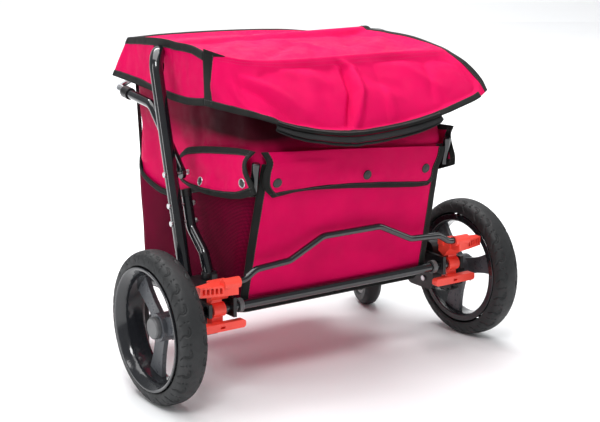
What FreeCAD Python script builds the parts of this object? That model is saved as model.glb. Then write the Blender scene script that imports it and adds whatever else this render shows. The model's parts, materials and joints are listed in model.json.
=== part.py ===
import FreeCAD, Part

import math
import os

from FreeCAD import Vector

# A four-wheeled shopping cart with a fabric bag.  Two large wheels stand on stub axles, two swivel
# casters stand behind them.  Millimetres, +Z up, X from the left wheel to the right wheel.
# Everything is laid out with Y = 0 at the large wheels' axle and Y growing towards the casters.
# FOOTPRINT_MIDDLE_Y then moves the finished pieces so that the origin is on the ground under the
# middle of the whole cart.
FOOTPRINT_MIDDLE_Y = 127.5

# Large wheels
WHEEL_R = 125.0
WHEEL_X = 320.0
TYRE_HALF_WIDTH = 23.5
TYRE_BEAD_R = 97.0
RIM_LIP_R = 101.0
RIM_LIP_X = WHEEL_X + 26.5
BARREL_R = 88.0
HUB_R = 23.0
HUB_INNER_X = 286.0
HUB_OUTER_X = 324.0
CAP_R = 18.0
CAP_OUTER_X = 333.0
SPOKE_COUNT = 3
SPOKE_ROOT_HALF = 15.0
SPOKE_WAIST_HALF = 14.0
SPOKE_END_HALF = 21.0
SPOKE_X = 316.0
SPOKE_THICK = 8.0
FIRST_SPOKE_ANGLE = 43.5
BEARING_OUTER_R = 14.0
BEARING_WIDTH = 8.0
AXLE_R = 6.0
RUNNING_GAP = 0.04

# Brake drum on the inboard side of each large wheel
DRUM_INNER_X = 268.0
DRUM_OUTER_X = 285.5
DRUM_R = 38.0
DRUM_ROOT_R = 33.0
DRUM_RIDGES = 16

# Frame tubes
HOOP_R = 11.0
HOOP_BEND_R = 34.0
HOOP_X = 244.0
HOOP_FOOT_Z = 135.0
HOOP_TOP_Z = 541.0
HOOP_BAR_Y = 163.0
HOOP_LEAN = 0.25
HOOP_Y_AT_340 = 82.5
LEG_R = 8.5
LEG_X = 221.0
LEG_BEND_R = 22.0
RAIL_R = 9.0
RAIL_X = 245.0
RAIL_Z = 155.0
RAIL_BEND_R = 60.0
CROSS_R = 8.0
CROSS_Y = -50.0
CROSS_Z = 154.0
REAR_CROSS_Y = 120.0
REAR_CROSS_Z = 112.0
TUBE_WALL = 1.5

# Axle housings
HOUSING_INNER_X = 222.0
HOUSING_OUTER_X = 262.0
HOUSING_FRONT_Y = -25.0
HOUSING_BACK_Y = 48.0
HOUSING_LOW_Z = 100.0
HOUSING_TOP_Z = 188.0
EAR_THICK = 6.0

# Casters
CASTER_X = 256.0
CASTER_Y = 188.0
CASTER_R = 62.0
CASTER_HALF_WIDTH = 16.0
CASTER_TRAIL = 60.0
CASTER_HUB_R = 40.0
STEM_R = 7.0
SOCKET_R = 14.0
SOCKET_LOW_Z = 142.0
SOCKET_TOP_Z = 186.0
RIGHT_CASTER_TURN = 20.0
LEFT_CASTER_TURN = 29.0

# Brake lever and bar
BRAKE_BAR_R = 5.5
BRAKE_BAR_Y = -82.0
BRAKE_BAR_END_Z = 204.0
BRAKE_BAR_BEND_R = 26.0
LEVER_FRONT_Y = -66.0
LEVER_WEB_Y = -52.0
LEVER_BACK_Y = -38.0
PEDAL_LOW_Z = 186.0
PEDAL_HEIGHT = 16.0
PEDAL_SLOTS = 5
BAR_SOCKET_R = 9.0
PIN_R = 3.0
PIN_X = 276.0
PIN_Z = 122.3
PIN_TIP_Y = -43.5

# Pull handle
PIVOT_Y = 85.0
PIVOT_Z = 350.0
ARM_X = 224.0
ARM_R = 8.0
ARM_BEND_Y = 181.5
ARM_BEND_Z = 450.0
ARM_END_Y = 270.0
HANDLE_CORNER_Y = 300.0
HANDLE_BACK_X = 152.0
HANDLE_BACK_Y = 366.0
HANDLE_SLOPE = 0.103
BOLT_R = 2.5
BOLT_HEIGHTS = [300.0, 272.0, PIVOT_Z]
BAR_R = 6.5
GRIP_R = 14.0
GRIP_HALF = 80.0

# Bag
BAG_HALF = 190.0
BAG_WALL = 3.0
BAG_LOW_Z = 131.0
BAG_FOLD_Z = 390.0
BAG_RIM_Z = 495.0
BAG_FRONT_CORNER = 22.0
BAG_BACK_CORNER = 44.0
SKIN_GAP = 0.4
POCKET_THICK = 6.0
FLAP_THICK = 3.5
SNAP_R = 8.5

# Pegs at the bag's front corners
POST_R = 6.5
POST_X = 192.0
POST_TOP_Z = 392.0
POST_LENGTH = 46.0

# Lid
LID_WALL = 3.0
LID_BACK_EDGE_Z = 526.0


def put(name, shape):
    """Write one node, moved so that the origin is under the middle of the cart."""
    moved = shape.copy()
    moved.translate(Vector(0, -FOOTPRINT_MIDDLE_Y, 0))
    assert moved.isValid(), name
    moved.exportStep("parts/" + name + ".step")
    box = moved.BoundBox
    print("%-26s solids %d  volume %9.0f  z %.1f..%.1f" % (
        name, len(moved.Solids), moved.Volume, box.ZMin, box.ZMax))


def both_sides(name, right_shape):
    """Write the right-hand piece and its mirror image."""
    put("right_" + name, right_shape)
    put("left_" + name, mirrored(right_shape))


def as_pairs(name, right_shape):
    """Write a small right-hand piece and its mirror image as one node of separate solids."""
    put(name, Part.makeCompound([right_shape, mirrored(right_shape)]))


def mirrored(shape):
    return shape.mirror(Vector(0, 0, 0), Vector(1, 0, 0))


def cylinder_x(radius, x0, x1, y, z):
    return Part.makeCylinder(radius, x1 - x0, Vector(x0, y, z), Vector(1, 0, 0))


def ring_x(outer, inner, x0, x1, y, z):
    return cylinder_x(outer, x0, x1, y, z).cut(cylinder_x(inner, x0 - 1, x1 + 1, y, z))


def box(x0, x1, y0, y1, z0, z1):
    return Part.makeBox(x1 - x0, y1 - y0, z1 - z0, Vector(x0, y0, z0))


def prism(points, direction):
    """Extrude a closed outline of points along a direction."""
    outline = Part.makePolygon(points + [points[0]])
    return Part.Face(outline).extrude(direction)


def bent_path(points, bend_radius):
    """A wire of straight runs joined by tangent arcs."""
    edges = []
    start = points[0]
    for before, corner, after in zip(points, points[1:], points[2:]):
        incoming = (corner - before).normalize()
        outgoing = (after - corner).normalize()
        half_turn = incoming.getAngle(outgoing) / 2
        setback = bend_radius * math.tan(half_turn)
        arc_start = corner - incoming * setback
        arc_end = corner + outgoing * setback
        to_centre = (outgoing - incoming).normalize()
        middle = corner + to_centre * (bend_radius / math.cos(half_turn) - bend_radius)
        edges.append(Part.LineSegment(start, arc_start).toShape())
        edges.append(Part.Arc(arc_start, middle, arc_end).toShape())
        start = arc_end
    edges.append(Part.LineSegment(start, points[-1]).toShape())
    return Part.Wire(edges)


def rod(points, bend_radius, radius):
    path = bent_path(points, bend_radius)
    section = Part.Wire([Part.makeCircle(radius, points[0], points[1] - points[0])])
    return path.makePipeShell([section], True, False)


def tube(points, bend_radius, radius, wall=TUBE_WALL):
    return rod(points, bend_radius, radius).cut(rod(points, bend_radius, radius - wall))


def skin(rings, first_cap, last_cap):
    """A closed solid through rings of equal length, closed by a fan at each end."""
    triangles = []
    count = len(rings[0])
    for i in range(count):
        j = (i + 1) % count
        triangles.append((first_cap, rings[0][j], rings[0][i]))
        triangles.append((last_cap, rings[-1][i], rings[-1][j]))
        for lower, upper in zip(rings, rings[1:]):
            triangles.append((lower[i], lower[j], upper[j]))
            triangles.append((lower[i], upper[j], upper[i]))
    faces = [Part.Face(Part.makePolygon([a, b, c, a])) for a, b, c in triangles]
    solid = Part.makeSolid(Part.makeShell(faces))
    if solid.Volume < 0:
        solid.reverse()
    return solid


def centre(ring):
    total = Vector(0, 0, 0)
    for point in ring:
        total = total + point
    return total * (1.0 / len(ring))


def rounded_ring(half, y0, y1, z, inset=0.0, steps=4):
    """Points round the bag's outline at one height, set in from its outer skin."""
    corners = [(half, y1, 0), (-half, y1, 90), (-half, y0, 180), (half, y0, 270)]
    points = []
    for x, y, start in corners:
        corner = (BAG_BACK_CORNER if y == y1 else BAG_FRONT_CORNER) - inset
        cx = x - math.copysign(corner, x)
        cy = y - corner if y == y1 else y + corner
        for k in range(steps + 1):
            angle = math.radians(start + 90.0 * k / steps)
            points.append(Vector(cx + corner * math.cos(angle), cy + corner * math.sin(angle), z))
    return points


def hoop_y(z):
    """Y of the hoop's leaning leg at a height."""
    return HOOP_Y_AT_340 + HOOP_LEAN * (z - 340.0)


def bag_front_y(z):
    """Y of the bag's front wall, which leans out up to the fold and back above it."""
    if z <= BAG_FOLD_Z:
        return -30.0 - 58.0 * (z - BAG_LOW_Z) / (BAG_FOLD_Z - BAG_LOW_Z)
    return -88.0 + 35.0 * (z - BAG_FOLD_Z) / (BAG_RIM_Z - BAG_FOLD_Z)


def bag_back_y(z):
    return 302.0 + 32.0 * (z - BAG_LOW_Z) / (BAG_RIM_Z - BAG_LOW_Z)


# ---------------------------------------------------------------- large wheels
def tyre():
    """Rounded EVA tyre: half a superellipse above the bead, turned round the axle."""
    points = []
    side_height = WHEEL_R - TYRE_BEAD_R
    for k in range(0, 13):
        t = -1 + 2.0 * k / 12
        rise = (1 - abs(t) ** 2.6) ** (1 / 2.6)
        radius = TYRE_BEAD_R + 8 + (side_height - 8) * rise
        points.append(Vector(WHEEL_X + t * TYRE_HALF_WIDTH, 0, radius))
    crown = Part.BSplineCurve()
    crown.interpolate(points)
    low_out = Vector(WHEEL_X + 17, 0, TYRE_BEAD_R - 3)
    low_in = Vector(WHEEL_X - 17, 0, TYRE_BEAD_R - 3)
    closing = Part.makePolygon([points[-1], low_out, low_in, points[0]])
    outline = Part.Wire([crown.toShape()] + closing.Edges)
    solid = Part.Face(outline).revolve(Vector(0, 0, 0), Vector(1, 0, 0), 360)
    solid.translate(Vector(0, 0, WHEEL_R))
    return solid.cut(rim_barrel())


def turned(profile):
    """Turn an (x, radius) outline round the large wheel's axle."""
    points = [Vector(x, 0, radius) for x, radius in profile]
    face = Part.Face(Part.makePolygon(points + [points[0]]))
    solid = face.revolve(Vector(0, 0, 0), Vector(1, 0, 0), 360)
    solid.translate(Vector(0, 0, WHEEL_R))
    return solid


def rim_barrel():
    """Deep barrel with lips that hold the tyre."""
    seat = TYRE_BEAD_R - 3
    inner_lip_x = WHEEL_X - 22.0
    return turned([
        (inner_lip_x, BARREL_R), (inner_lip_x, RIM_LIP_R - 2), (WHEEL_X - 17.5, RIM_LIP_R - 2),
        (WHEEL_X - 17.5, seat - 0.1), (WHEEL_X + 17.5, seat - 0.1), (WHEEL_X + 21.5, RIM_LIP_R - 1),
        (RIM_LIP_X, RIM_LIP_R), (RIM_LIP_X, RIM_LIP_R - 4), (WHEEL_X + 19, BARREL_R + 1),
        (WHEEL_X + 10, BARREL_R - 3), (inner_lip_x + 6, BARREL_R - 3)])


def wheel_spokes():
    """Hub and three flat spokes that widen towards the barrel."""
    hub = ring_x(HUB_R, BEARING_OUTER_R, HUB_INNER_X, HUB_OUTER_X, 0, WHEEL_R)
    half_outline = [(SPOKE_ROOT_HALF, HUB_R - 6), (SPOKE_WAIST_HALF, 44.0), (SPOKE_WAIST_HALF + 1.5, 62.0),
                    (SPOKE_END_HALF - 2.5, 78.0), (SPOKE_END_HALF, BARREL_R)]
    outline = half_outline + [(-half, radius) for half, radius in reversed(half_outline)]
    points = [Vector(SPOKE_X - SPOKE_THICK, half, radius) for half, radius in outline]
    blank = Part.Face(Part.makePolygon(points + [points[0]])).extrude(Vector(SPOKE_THICK, 0, 0))
    blank = blank.common(cylinder_x(BARREL_R - 3, 200, 400, 0, 0))
    for k in range(SPOKE_COUNT):
        spoke = blank.copy()
        spoke.rotate(Vector(0, 0, 0), Vector(1, 0, 0), FIRST_SPOKE_ANGLE - 90 + 120 * k)
        spoke.translate(Vector(0, 0, WHEEL_R))
        hub = hub.fuse(spoke.cut(cylinder_x(HUB_R - 1, 200, 400, 0, WHEEL_R)))
    return hub.removeSplitter()


def brake_drum():
    """Ridged drum that the brake pin drops into."""
    drum = ring_x(DRUM_ROOT_R, AXLE_R + 2, DRUM_INNER_X, DRUM_OUTER_X, 0, WHEEL_R)
    for k in range(DRUM_RIDGES):
        ridge = box(DRUM_INNER_X, DRUM_OUTER_X, -3.2, 3.2, DRUM_ROOT_R - 1, DRUM_R)
        ridge.rotate(Vector(0, 0, 0), Vector(1, 0, 0), 360.0 * (k + 0.5) / DRUM_RIDGES)
        ridge.translate(Vector(0, 0, WHEEL_R))
        drum = drum.fuse(ridge)
    return drum.removeSplitter()


def bearings():
    inner_start = HUB_INNER_X + 1
    outer_start = HUB_OUTER_X - 1 - BEARING_WIDTH
    rings = []
    for x in (inner_start, outer_start):
        rings.append(ring_x(BEARING_OUTER_R, AXLE_R + RUNNING_GAP, x, x + BEARING_WIDTH, 0, WHEEL_R))
    return Part.makeCompound(rings)


def hub_cap():
    cap = cylinder_x(CAP_R, HUB_OUTER_X, CAP_OUTER_X, 0, WHEEL_R)
    cap = cap.makeChamfer(2.0, [e for e in cap.Edges if e.BoundBox.XMin > CAP_OUTER_X - 0.1])
    return cap.cut(cylinder_x(CAP_R - 4, HUB_OUTER_X - 1, CAP_OUTER_X - 2.5, 0, WHEEL_R))


def stub_axle():
    """Stub axle with its head inside the housing and its nut under the hub cap."""
    shaft = cylinder_x(AXLE_R, HOUSING_INNER_X + 8, CAP_OUTER_X - 4, 0, WHEEL_R)
    head = cylinder_x(AXLE_R + 4, HOUSING_INNER_X + 3, HOUSING_INNER_X + 8, 0, WHEEL_R)
    return shaft.fuse(head)


def axle_nut():
    points = []
    for k in range(6):
        angle = math.radians(60 * k)
        points.append(Vector(HUB_OUTER_X + 0.5, 10 * math.cos(angle), WHEEL_R + 10 * math.sin(angle)))
    return prism(points, Vector(4.5, 0, 0)).cut(cylinder_x(AXLE_R, 200, 400, 0, WHEEL_R))


# ---------------------------------------------------------------- frame
def hoop_points():
    """Up the right leg, over the top bar and down the left leg."""
    foot = Vector(HOOP_X, hoop_y(HOOP_FOOT_Z), HOOP_FOOT_Z)
    shoulder = Vector(HOOP_X, hoop_y(HOOP_TOP_Z), HOOP_TOP_Z)
    turn_in = Vector(HOOP_X - 30, HOOP_BAR_Y, HOOP_TOP_Z)
    right = [foot, shoulder, turn_in]
    left = [Vector(-p.x, p.y, p.z) for p in reversed(right)]
    return right + left


def leg_points():
    """Cranked lower leg, from its bolted top down to the axle housing."""
    return [Vector(LEG_X, 75, 312), Vector(LEG_X, 62, 262), Vector(LEG_X, 22, 228),
            Vector(LEG_X, 9, 196), Vector(LEG_X, 8, 160)]


def rail_points():
    return [Vector(RAIL_X, HOUSING_BACK_Y - 20, RAIL_Z), Vector(RAIL_X, 140, RAIL_Z),
            Vector(CASTER_X, CASTER_Y, RAIL_Z)]


def caster_socket():
    foot = Vector(CASTER_X, CASTER_Y, SOCKET_LOW_Z)
    body = Part.makeCylinder(SOCKET_R, SOCKET_TOP_Z - SOCKET_LOW_Z, foot)
    bore = Part.makeCylinder(STEM_R + RUNNING_GAP, SOCKET_TOP_Z - SOCKET_LOW_Z - 6,
                             Vector(CASTER_X, CASTER_Y, SOCKET_LOW_Z - 1))
    return body.cut(bore)


def side_rail():
    outer_socket = Part.makeCylinder(SOCKET_R, 200, Vector(CASTER_X, CASTER_Y, 50))
    leg = rod(hoop_points()[:3], HOOP_BEND_R, HOOP_R)
    pieces = tube(rail_points(), RAIL_BEND_R, RAIL_R).cut(outer_socket).cut(leg).Solids
    return max(pieces, key=lambda piece: piece.Volume)


def rear_cross_tube():
    reach = RAIL_X
    points = [Vector(reach, REAR_CROSS_Y, RAIL_Z), Vector(reach - 42, REAR_CROSS_Y, REAR_CROSS_Z),
              Vector(42 - reach, REAR_CROSS_Y, REAR_CROSS_Z), Vector(-reach, REAR_CROSS_Y, RAIL_Z)]
    body = tube(points, 24, CROSS_R)
    rail = rod(rail_points(), RAIL_BEND_R, RAIL_R)
    return body.cut(rail).cut(mirrored(rail))


def front_cross_tube():
    """Straight tube between the housings; the brake levers turn on it."""
    return ring_x(CROSS_R, CROSS_R - TUBE_WALL, -HOUSING_OUTER_X, HOUSING_OUTER_X, CROSS_Y, CROSS_Z)


def axle_housing():
    """Moulded block round the stub axle, the tube ends and the front cross tube."""
    block = box(HOUSING_INNER_X, HOUSING_OUTER_X, HOUSING_FRONT_Y, HOUSING_BACK_Y,
                HOUSING_LOW_Z, HOUSING_TOP_Z)
    corners = [e for e in block.Edges if abs(e.tangentAt(e.FirstParameter).x) > 0.9]
    block = block.makeFillet(14, corners)
    seat = Part.makeCylinder(LEG_R + 4.5, HOUSING_TOP_Z - 155, Vector(LEG_X + 4, 8, 155))
    inner_ear = box(HOUSING_INNER_X - 9, HOUSING_INNER_X - 3, CROSS_Y - 14, 20,
                    CROSS_Z - 14, CROSS_Z + 18)
    bridge = box(HOUSING_INNER_X - 9, HOUSING_INNER_X + 4, -20, 20, CROSS_Z - 14, CROSS_Z + 18)
    outer_ear = box(HOUSING_OUTER_X - EAR_THICK, HOUSING_OUTER_X, CROSS_Y - 10, HOUSING_FRONT_Y + 12,
                    CROSS_Z - 10, CROSS_Z + 12)
    body = block.fuse(seat).fuse(inner_ear).fuse(bridge).fuse(outer_ear)
    hollow = [
        cylinder_x(AXLE_R, HOUSING_INNER_X + 5, 300, 0, WHEEL_R),
        cylinder_x(AXLE_R + 4, HOUSING_INNER_X + 3, HOUSING_INNER_X + 8, 0, WHEEL_R),
        cylinder_x(CROSS_R, 150, 300, CROSS_Y, CROSS_Z),
        rod(hoop_points()[:3], HOOP_BEND_R, HOOP_R),
        rod(leg_points(), LEG_BEND_R, LEG_R),
        rod(rail_points(), RAIL_BEND_R, RAIL_R)]
    for shape in hollow:
        body = body.cut(shape)
    return body.removeSplitter()


def leg_clamp():
    ring = Part.makeCylinder(LEG_R + 4, 10, Vector(LEG_X, 8.3, HOUSING_TOP_Z + 1))
    screw_tab = box(LEG_X - 5, LEG_X + 5, -10, 0, HOUSING_TOP_Z + 1, HOUSING_TOP_Z + 11)
    return ring.fuse(screw_tab).cut(rod(leg_points(), LEG_BEND_R, LEG_R))


def frame_bolts():
    """Bolts through the hoop: two hold the cranked leg, one carries the pull handle."""
    pieces = []
    inner_ends = [LEG_X - LEG_R - 3, LEG_X - LEG_R - 3, ARM_X - ARM_R - 4]
    for z, inner in zip(BOLT_HEIGHTS, inner_ends):
        y = hoop_y(z)
        shank = cylinder_x(BOLT_R, inner, HOOP_X + HOOP_R + 2, y, z)
        head = cylinder_x(4.5, HOOP_X + HOOP_R, HOOP_X + HOOP_R + 3, y, z)
        nut = cylinder_x(4.5, inner - 1, inner + 2.0, y, z)
        pieces.append(shank.fuse(head).fuse(nut))
    return Part.makeCompound(pieces)


def drilled(shape):
    """Cut the frame bolts' holes through a tube on the right."""
    for z in BOLT_HEIGHTS:
        shape = shape.cut(cylinder_x(BOLT_R, 180, 300, hoop_y(z), z))
    return shape


def hoop():
    right = drilled(tube(hoop_points(), HOOP_BEND_R, HOOP_R))
    for z in BOLT_HEIGHTS:
        right = right.cut(cylinder_x(BOLT_R, -300, -180, hoop_y(z), z))
    return right


def leg_plug():
    """Plastic plug on the upper end of the cranked leg."""
    top, below = leg_points()[0], leg_points()[1]
    along = (top - below).normalize()
    return Part.makeCylinder(LEG_R, 12, top, along)


def tube_bush():
    """Plain bush on the end of the front cross tube."""
    return ring_x(CROSS_R + 3.5, CROSS_R, 196, 204, CROSS_Y, CROSS_Z)


def housing_screw():
    """Screw head on the inboard face of the housing, under the cross tube's bridge."""
    return cylinder_x(5.0, HOUSING_INNER_X - 2.5, HOUSING_INNER_X, 0, HOUSING_LOW_Z + 18)


def corner_post():
    """Short peg in front of the bag's front corner, between the ends of the pocket flaps."""
    top = Vector(POST_X, bag_front_y(POST_TOP_Z) - 4.0, POST_TOP_Z)
    foot = Vector(POST_X, bag_front_y(POST_TOP_Z - POST_LENGTH) - 4.0, POST_TOP_Z - POST_LENGTH)
    peg = Part.makeCylinder(POST_R, (top - foot).Length, foot, top - foot)
    return peg.makeChamfer(1.5, [e for e in peg.Edges if e.BoundBox.ZMin > POST_TOP_Z - 4])


# ---------------------------------------------------------------- brake
def brake_lever():
    """Red lever that turns on the front cross tube: a ribbed pedal above, a foot bar below and a web."""
    web_outline = [(226, 124), (231, 137), (234, 150), (234, 167), (230, 181), (221, 190), (221, 200),
                   (262, 200), (256, 188), (253, 172), (253, 142), (257, 124)]
    web = prism([Vector(x, LEVER_WEB_Y, z) for x, z in web_outline], Vector(0, LEVER_BACK_Y - LEVER_WEB_Y, 0))
    neck_outline = [(LEVER_BACK_Y, 178), (LEVER_WEB_Y, 170), (-68, 187), (-68, 200), (LEVER_BACK_Y, 200)]
    neck = prism([Vector(223, y, z) for y, z in neck_outline], Vector(33, 0, 0))
    pedal_outline = [(226, -91), (250, -86), (287, -76), (287, -62), (262, -56), (226, -60)]
    pedal = prism([Vector(x, y, PEDAL_LOW_Z) for x, y in pedal_outline], Vector(0, 0, PEDAL_HEIGHT))
    foot = box(197, 285, LEVER_FRONT_Y, LEVER_WEB_Y + 3, 121, 134)
    ends = [e for e in foot.Edges if abs(e.tangentAt(e.FirstParameter).y) > 0.9]
    foot = foot.makeFillet(5, ends)
    boss = cylinder_x(CROSS_R + 4, 231, 253, CROSS_Y, CROSS_Z)
    socket = cylinder_x(BAR_SOCKET_R, 220, 250, BRAKE_BAR_Y, BRAKE_BAR_END_Z)
    body = web.fuse([neck, pedal, foot, boss, socket])
    body = body.cut(box(253, 300, LEVER_BACK_Y - 12, LEVER_BACK_Y + 1, 170, 210))
    body = body.cut(box(253, 300, LEVER_WEB_Y, LEVER_BACK_Y + 1, 100, 145))
    body = body.cut(box(180, 232, LEVER_WEB_Y - 2, LEVER_BACK_Y + 1, 100, 140))
    body = body.cut(box(236, 245, LEVER_FRONT_Y - 1, LEVER_FRONT_Y + 6, 125, 129))
    body = body.cut(cylinder_x(CROSS_R + RUNNING_GAP, 150, 300, CROSS_Y, CROSS_Z))
    body = body.cut(rod(brake_bar_points(), BRAKE_BAR_BEND_R, BRAKE_BAR_R))
    for k in range(PEDAL_SLOTS):
        x = 252 + 6.8 * k
        body = body.cut(box(x, x + 4.2, -92, -72, PEDAL_LOW_Z + 4, PEDAL_LOW_Z + PEDAL_HEIGHT - 2.5))
    pin = brake_pin()
    return body.cut(pin).removeSplitter()


def brake_pin():
    """Steel pin that drops between the drum's ridges when the bar is pressed."""
    return Part.makeCylinder(PIN_R, 22, Vector(PIN_X, PIN_TIP_Y - 22, PIN_Z), Vector(0, 1, 0))


def brake_bar_points():
    """Foot bar: raised in the middle, stepping down to the levers."""
    half = [(58, 254), (124, 223), (188, 219), (208, 206), (238, BRAKE_BAR_END_Z)]
    right = [Vector(x, BRAKE_BAR_Y, z) for x, z in reversed(half)]
    left = [Vector(-x, BRAKE_BAR_Y, z) for x, z in half]
    return right + left


# ---------------------------------------------------------------- casters
def caster_place(shape, turn, side):
    """Stand a caster, drawn with its stem on the origin and trailing along +Y, at its socket."""
    placed = shape.copy()
    placed.rotate(Vector(0, 0, 0), Vector(0, 0, 1), -turn)
    placed.translate(Vector(side * CASTER_X, CASTER_Y, 0))
    return placed


def caster_fork():
    stem = Part.makeCylinder(STEM_R, 40, Vector(0, 0, 134))
    gap = CASTER_HALF_WIDTH + 3
    crown = box(-gap - 5, gap + 5, -14, 44, 131, 139)
    uprights = [e for e in crown.Edges if abs(e.tangentAt(e.FirstParameter).z) > 0.9]
    crown = crown.makeFillet(5, uprights)
    collar = Part.makeCylinder(12, 2.6, Vector(0, 0, 139))
    body = crown.fuse(stem).fuse(collar)
    side = [(-12, 136), (40, 136), (CASTER_TRAIL + 11, CASTER_R + 4), (CASTER_TRAIL + 7, CASTER_R - 10),
            (CASTER_TRAIL - 7, CASTER_R - 10), (CASTER_TRAIL - 12, CASTER_R + 4), (8, 116), (-12, 126)]
    for x in (gap, -gap - 5):
        cheek = prism([Vector(x, y, z) for y, z in side], Vector(5, 0, 0))
        body = body.fuse(cheek)
    bore = cylinder_x(4.0, -60, 60, CASTER_TRAIL, CASTER_R)
    return body.cut(bore).removeSplitter()


def caster_axle():
    reach = CASTER_HALF_WIDTH + 8
    shaft = cylinder_x(4.0, -reach, reach, CASTER_TRAIL, CASTER_R)
    heads = cylinder_x(7.0, reach, reach + 3, CASTER_TRAIL, CASTER_R)
    nut = cylinder_x(7.0, -reach - 3, -reach, CASTER_TRAIL, CASTER_R)
    return shaft.fuse(heads).fuse(nut)


def caster_tyre():
    half = CASTER_HALF_WIDTH
    profile = [(-half, 44), (-half, 54), (-half + 5, 60), (-half + 10, CASTER_R), (half - 10, CASTER_R),
               (half - 5, 60), (half, 54), (half, 44), (half - 3, CASTER_HUB_R), (3 - half, CASTER_HUB_R)]
    face = Part.Face(Part.makePolygon([Vector(x, 0, r) for x, r in profile + profile[:1]]))
    solid = face.revolve(Vector(0, 0, 0), Vector(1, 0, 0), 360)
    solid.translate(Vector(0, CASTER_TRAIL, CASTER_R))
    return solid


def caster_hub():
    """Wheel centre: a band under the tyre, a solid web with ribs and a bored core."""
    half = CASTER_HALF_WIDTH - 3
    band = ring_x(CASTER_HUB_R - 0.05, CASTER_HUB_R - 5, -half, half, CASTER_TRAIL, CASTER_R)
    core = cylinder_x(11, -half - 4, half + 4, CASTER_TRAIL, CASTER_R)
    web = cylinder_x(CASTER_HUB_R - 3, -3, 3, CASTER_TRAIL, CASTER_R)
    body = band.fuse(core).fuse(web)
    for k in range(6):
        rib = box(3 - half, half - 3, CASTER_TRAIL - 2, CASTER_TRAIL + 2,
                  CASTER_R + 8, CASTER_R + CASTER_HUB_R - 3)
        rib.rotate(Vector(0, CASTER_TRAIL, CASTER_R), Vector(1, 0, 0), 60 * k)
        body = body.fuse(rib)
    return body.cut(cylinder_x(4.0 + RUNNING_GAP, -60, 60, CASTER_TRAIL, CASTER_R)).removeSplitter()


# ---------------------------------------------------------------- pull handle
def arm_points():
    run_z = ARM_BEND_Z + HANDLE_SLOPE * (ARM_END_Y - ARM_BEND_Y)
    return [Vector(ARM_X, PIVOT_Y, PIVOT_Z), Vector(ARM_X, ARM_BEND_Y, ARM_BEND_Z),
            Vector(ARM_X, ARM_END_Y, run_z)]


def handle_arm():
    """Bent outer tube with a flattened eye on the pivot bolt."""
    eye = cylinder_x(10, ARM_X - 3, ARM_X + 3, PIVOT_Y, PIVOT_Z)
    body = tube(arm_points(), 30, ARM_R, ARM_R - BAR_R - RUNNING_GAP).fuse(eye)
    foot = Part.makeSphere(ARM_R, Vector(ARM_X, PIVOT_Y, PIVOT_Z)).cut(box(200, ARM_X - 3, 0, 200, 300, 400))
    body = body.fuse(foot.cut(box(ARM_X + 3, 260, 0, 200, 300, 400)))
    return body.cut(cylinder_x(BOLT_R + RUNNING_GAP, 150, 300, PIVOT_Y, PIVOT_Z)).removeSplitter()


def handle_collar():
    """Black lock collar on the end of the outer tube."""
    end = arm_points()[-1]
    along = (end - arm_points()[1]).normalize()
    outer = Part.makeCylinder(ARM_R + 2.5, 20, end - along * 14, along)
    return outer.cut(Part.makeCylinder(ARM_R, 14, end - along * 14, along)).cut(
        Part.makeCylinder(BAR_R + RUNNING_GAP, 40, end - along * 14, along))


def handle_bar_points():
    """Out of the right arm, in round the bag's back corner, across and back into the left arm."""
    right = []
    for x, y in ((ARM_X, ARM_BEND_Y + 24), (ARM_X, HANDLE_CORNER_Y), (HANDLE_BACK_X, HANDLE_BACK_Y)):
        right.append(Vector(x, y, ARM_BEND_Z + HANDLE_SLOPE * (y - ARM_BEND_Y)))
    return right + [Vector(-p.x, p.y, p.z) for p in reversed(right)]


def handle_grip():
    back = handle_bar_points()[2]
    grip = cylinder_x(GRIP_R, -GRIP_HALF, GRIP_HALF, back.y, back.z)
    grip = grip.makeFillet(5, [e for e in grip.Edges if e.Curve.TypeId == "Part::GeomCircle"])
    return grip.cut(cylinder_x(BAR_R, -GRIP_HALF - 1, GRIP_HALF + 1, back.y, back.z))


# ---------------------------------------------------------------- soft goods
def bag_shell():
    """Open-topped bag: outer skin down, inner skin up, joined at the rim."""
    levels = [(BAG_LOW_Z, 10.0), (BAG_LOW_Z + 12, 0.0), (BAG_FOLD_Z, 0.0), (BAG_RIM_Z, 0.0)]
    outer = []
    inner = []
    for z, tuck in levels:
        wall = BAG_WALL + tuck
        lift = BAG_WALL if z == BAG_LOW_Z else 0.0
        outer.append(rounded_ring(BAG_HALF - tuck, bag_front_y(z) + tuck, bag_back_y(z) - tuck, z))
        inner.append(rounded_ring(BAG_HALF - wall, bag_front_y(z) + wall, bag_back_y(z) - wall,
                                  z + lift, BAG_WALL))
    rings = outer + inner[::-1]
    return skin(rings, centre(outer[0]), centre(inner[0]))


def bag_floor():
    z = BAG_LOW_Z + 14
    margin = BAG_WALL + 2
    low = rounded_ring(BAG_HALF - margin, bag_front_y(z) + margin + 2, bag_back_y(z) - margin,
                       z, margin)
    high = [p + Vector(0, 0, 3) for p in low]
    return skin([low, high], centre(low), centre(high))


def front_slab(corners, offset, thick):
    """A slab that lies against the bag's leaning front wall, from its (x, z) corners."""
    rings = []
    for gap in (offset, offset + thick):
        rings.append([Vector(x, bag_front_y(z) - gap, z) for x, z in corners])
    return skin(rings, centre(rings[0]), centre(rings[1]))


def side_slab(outline, inner_x, thick):
    """A slab against the bag's right side, from its (y, z) outline."""
    return prism([Vector(inner_x, y, z) for y, z in outline], Vector(thick, 0, 0))


def front_pocket():
    """Flat pocket sewn over the whole front wall."""
    corners = [(-182, 146), (182, 146), (180, 372), (-180, 384)]
    return front_slab(corners, SKIN_GAP, POCKET_THICK)


def front_pocket_flap():
    corners = [(-170, 334), (154, 315), (172, 374), (-172, 389)]
    return front_slab(corners, SKIN_GAP * 2 + POCKET_THICK, FLAP_THICK)


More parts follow.
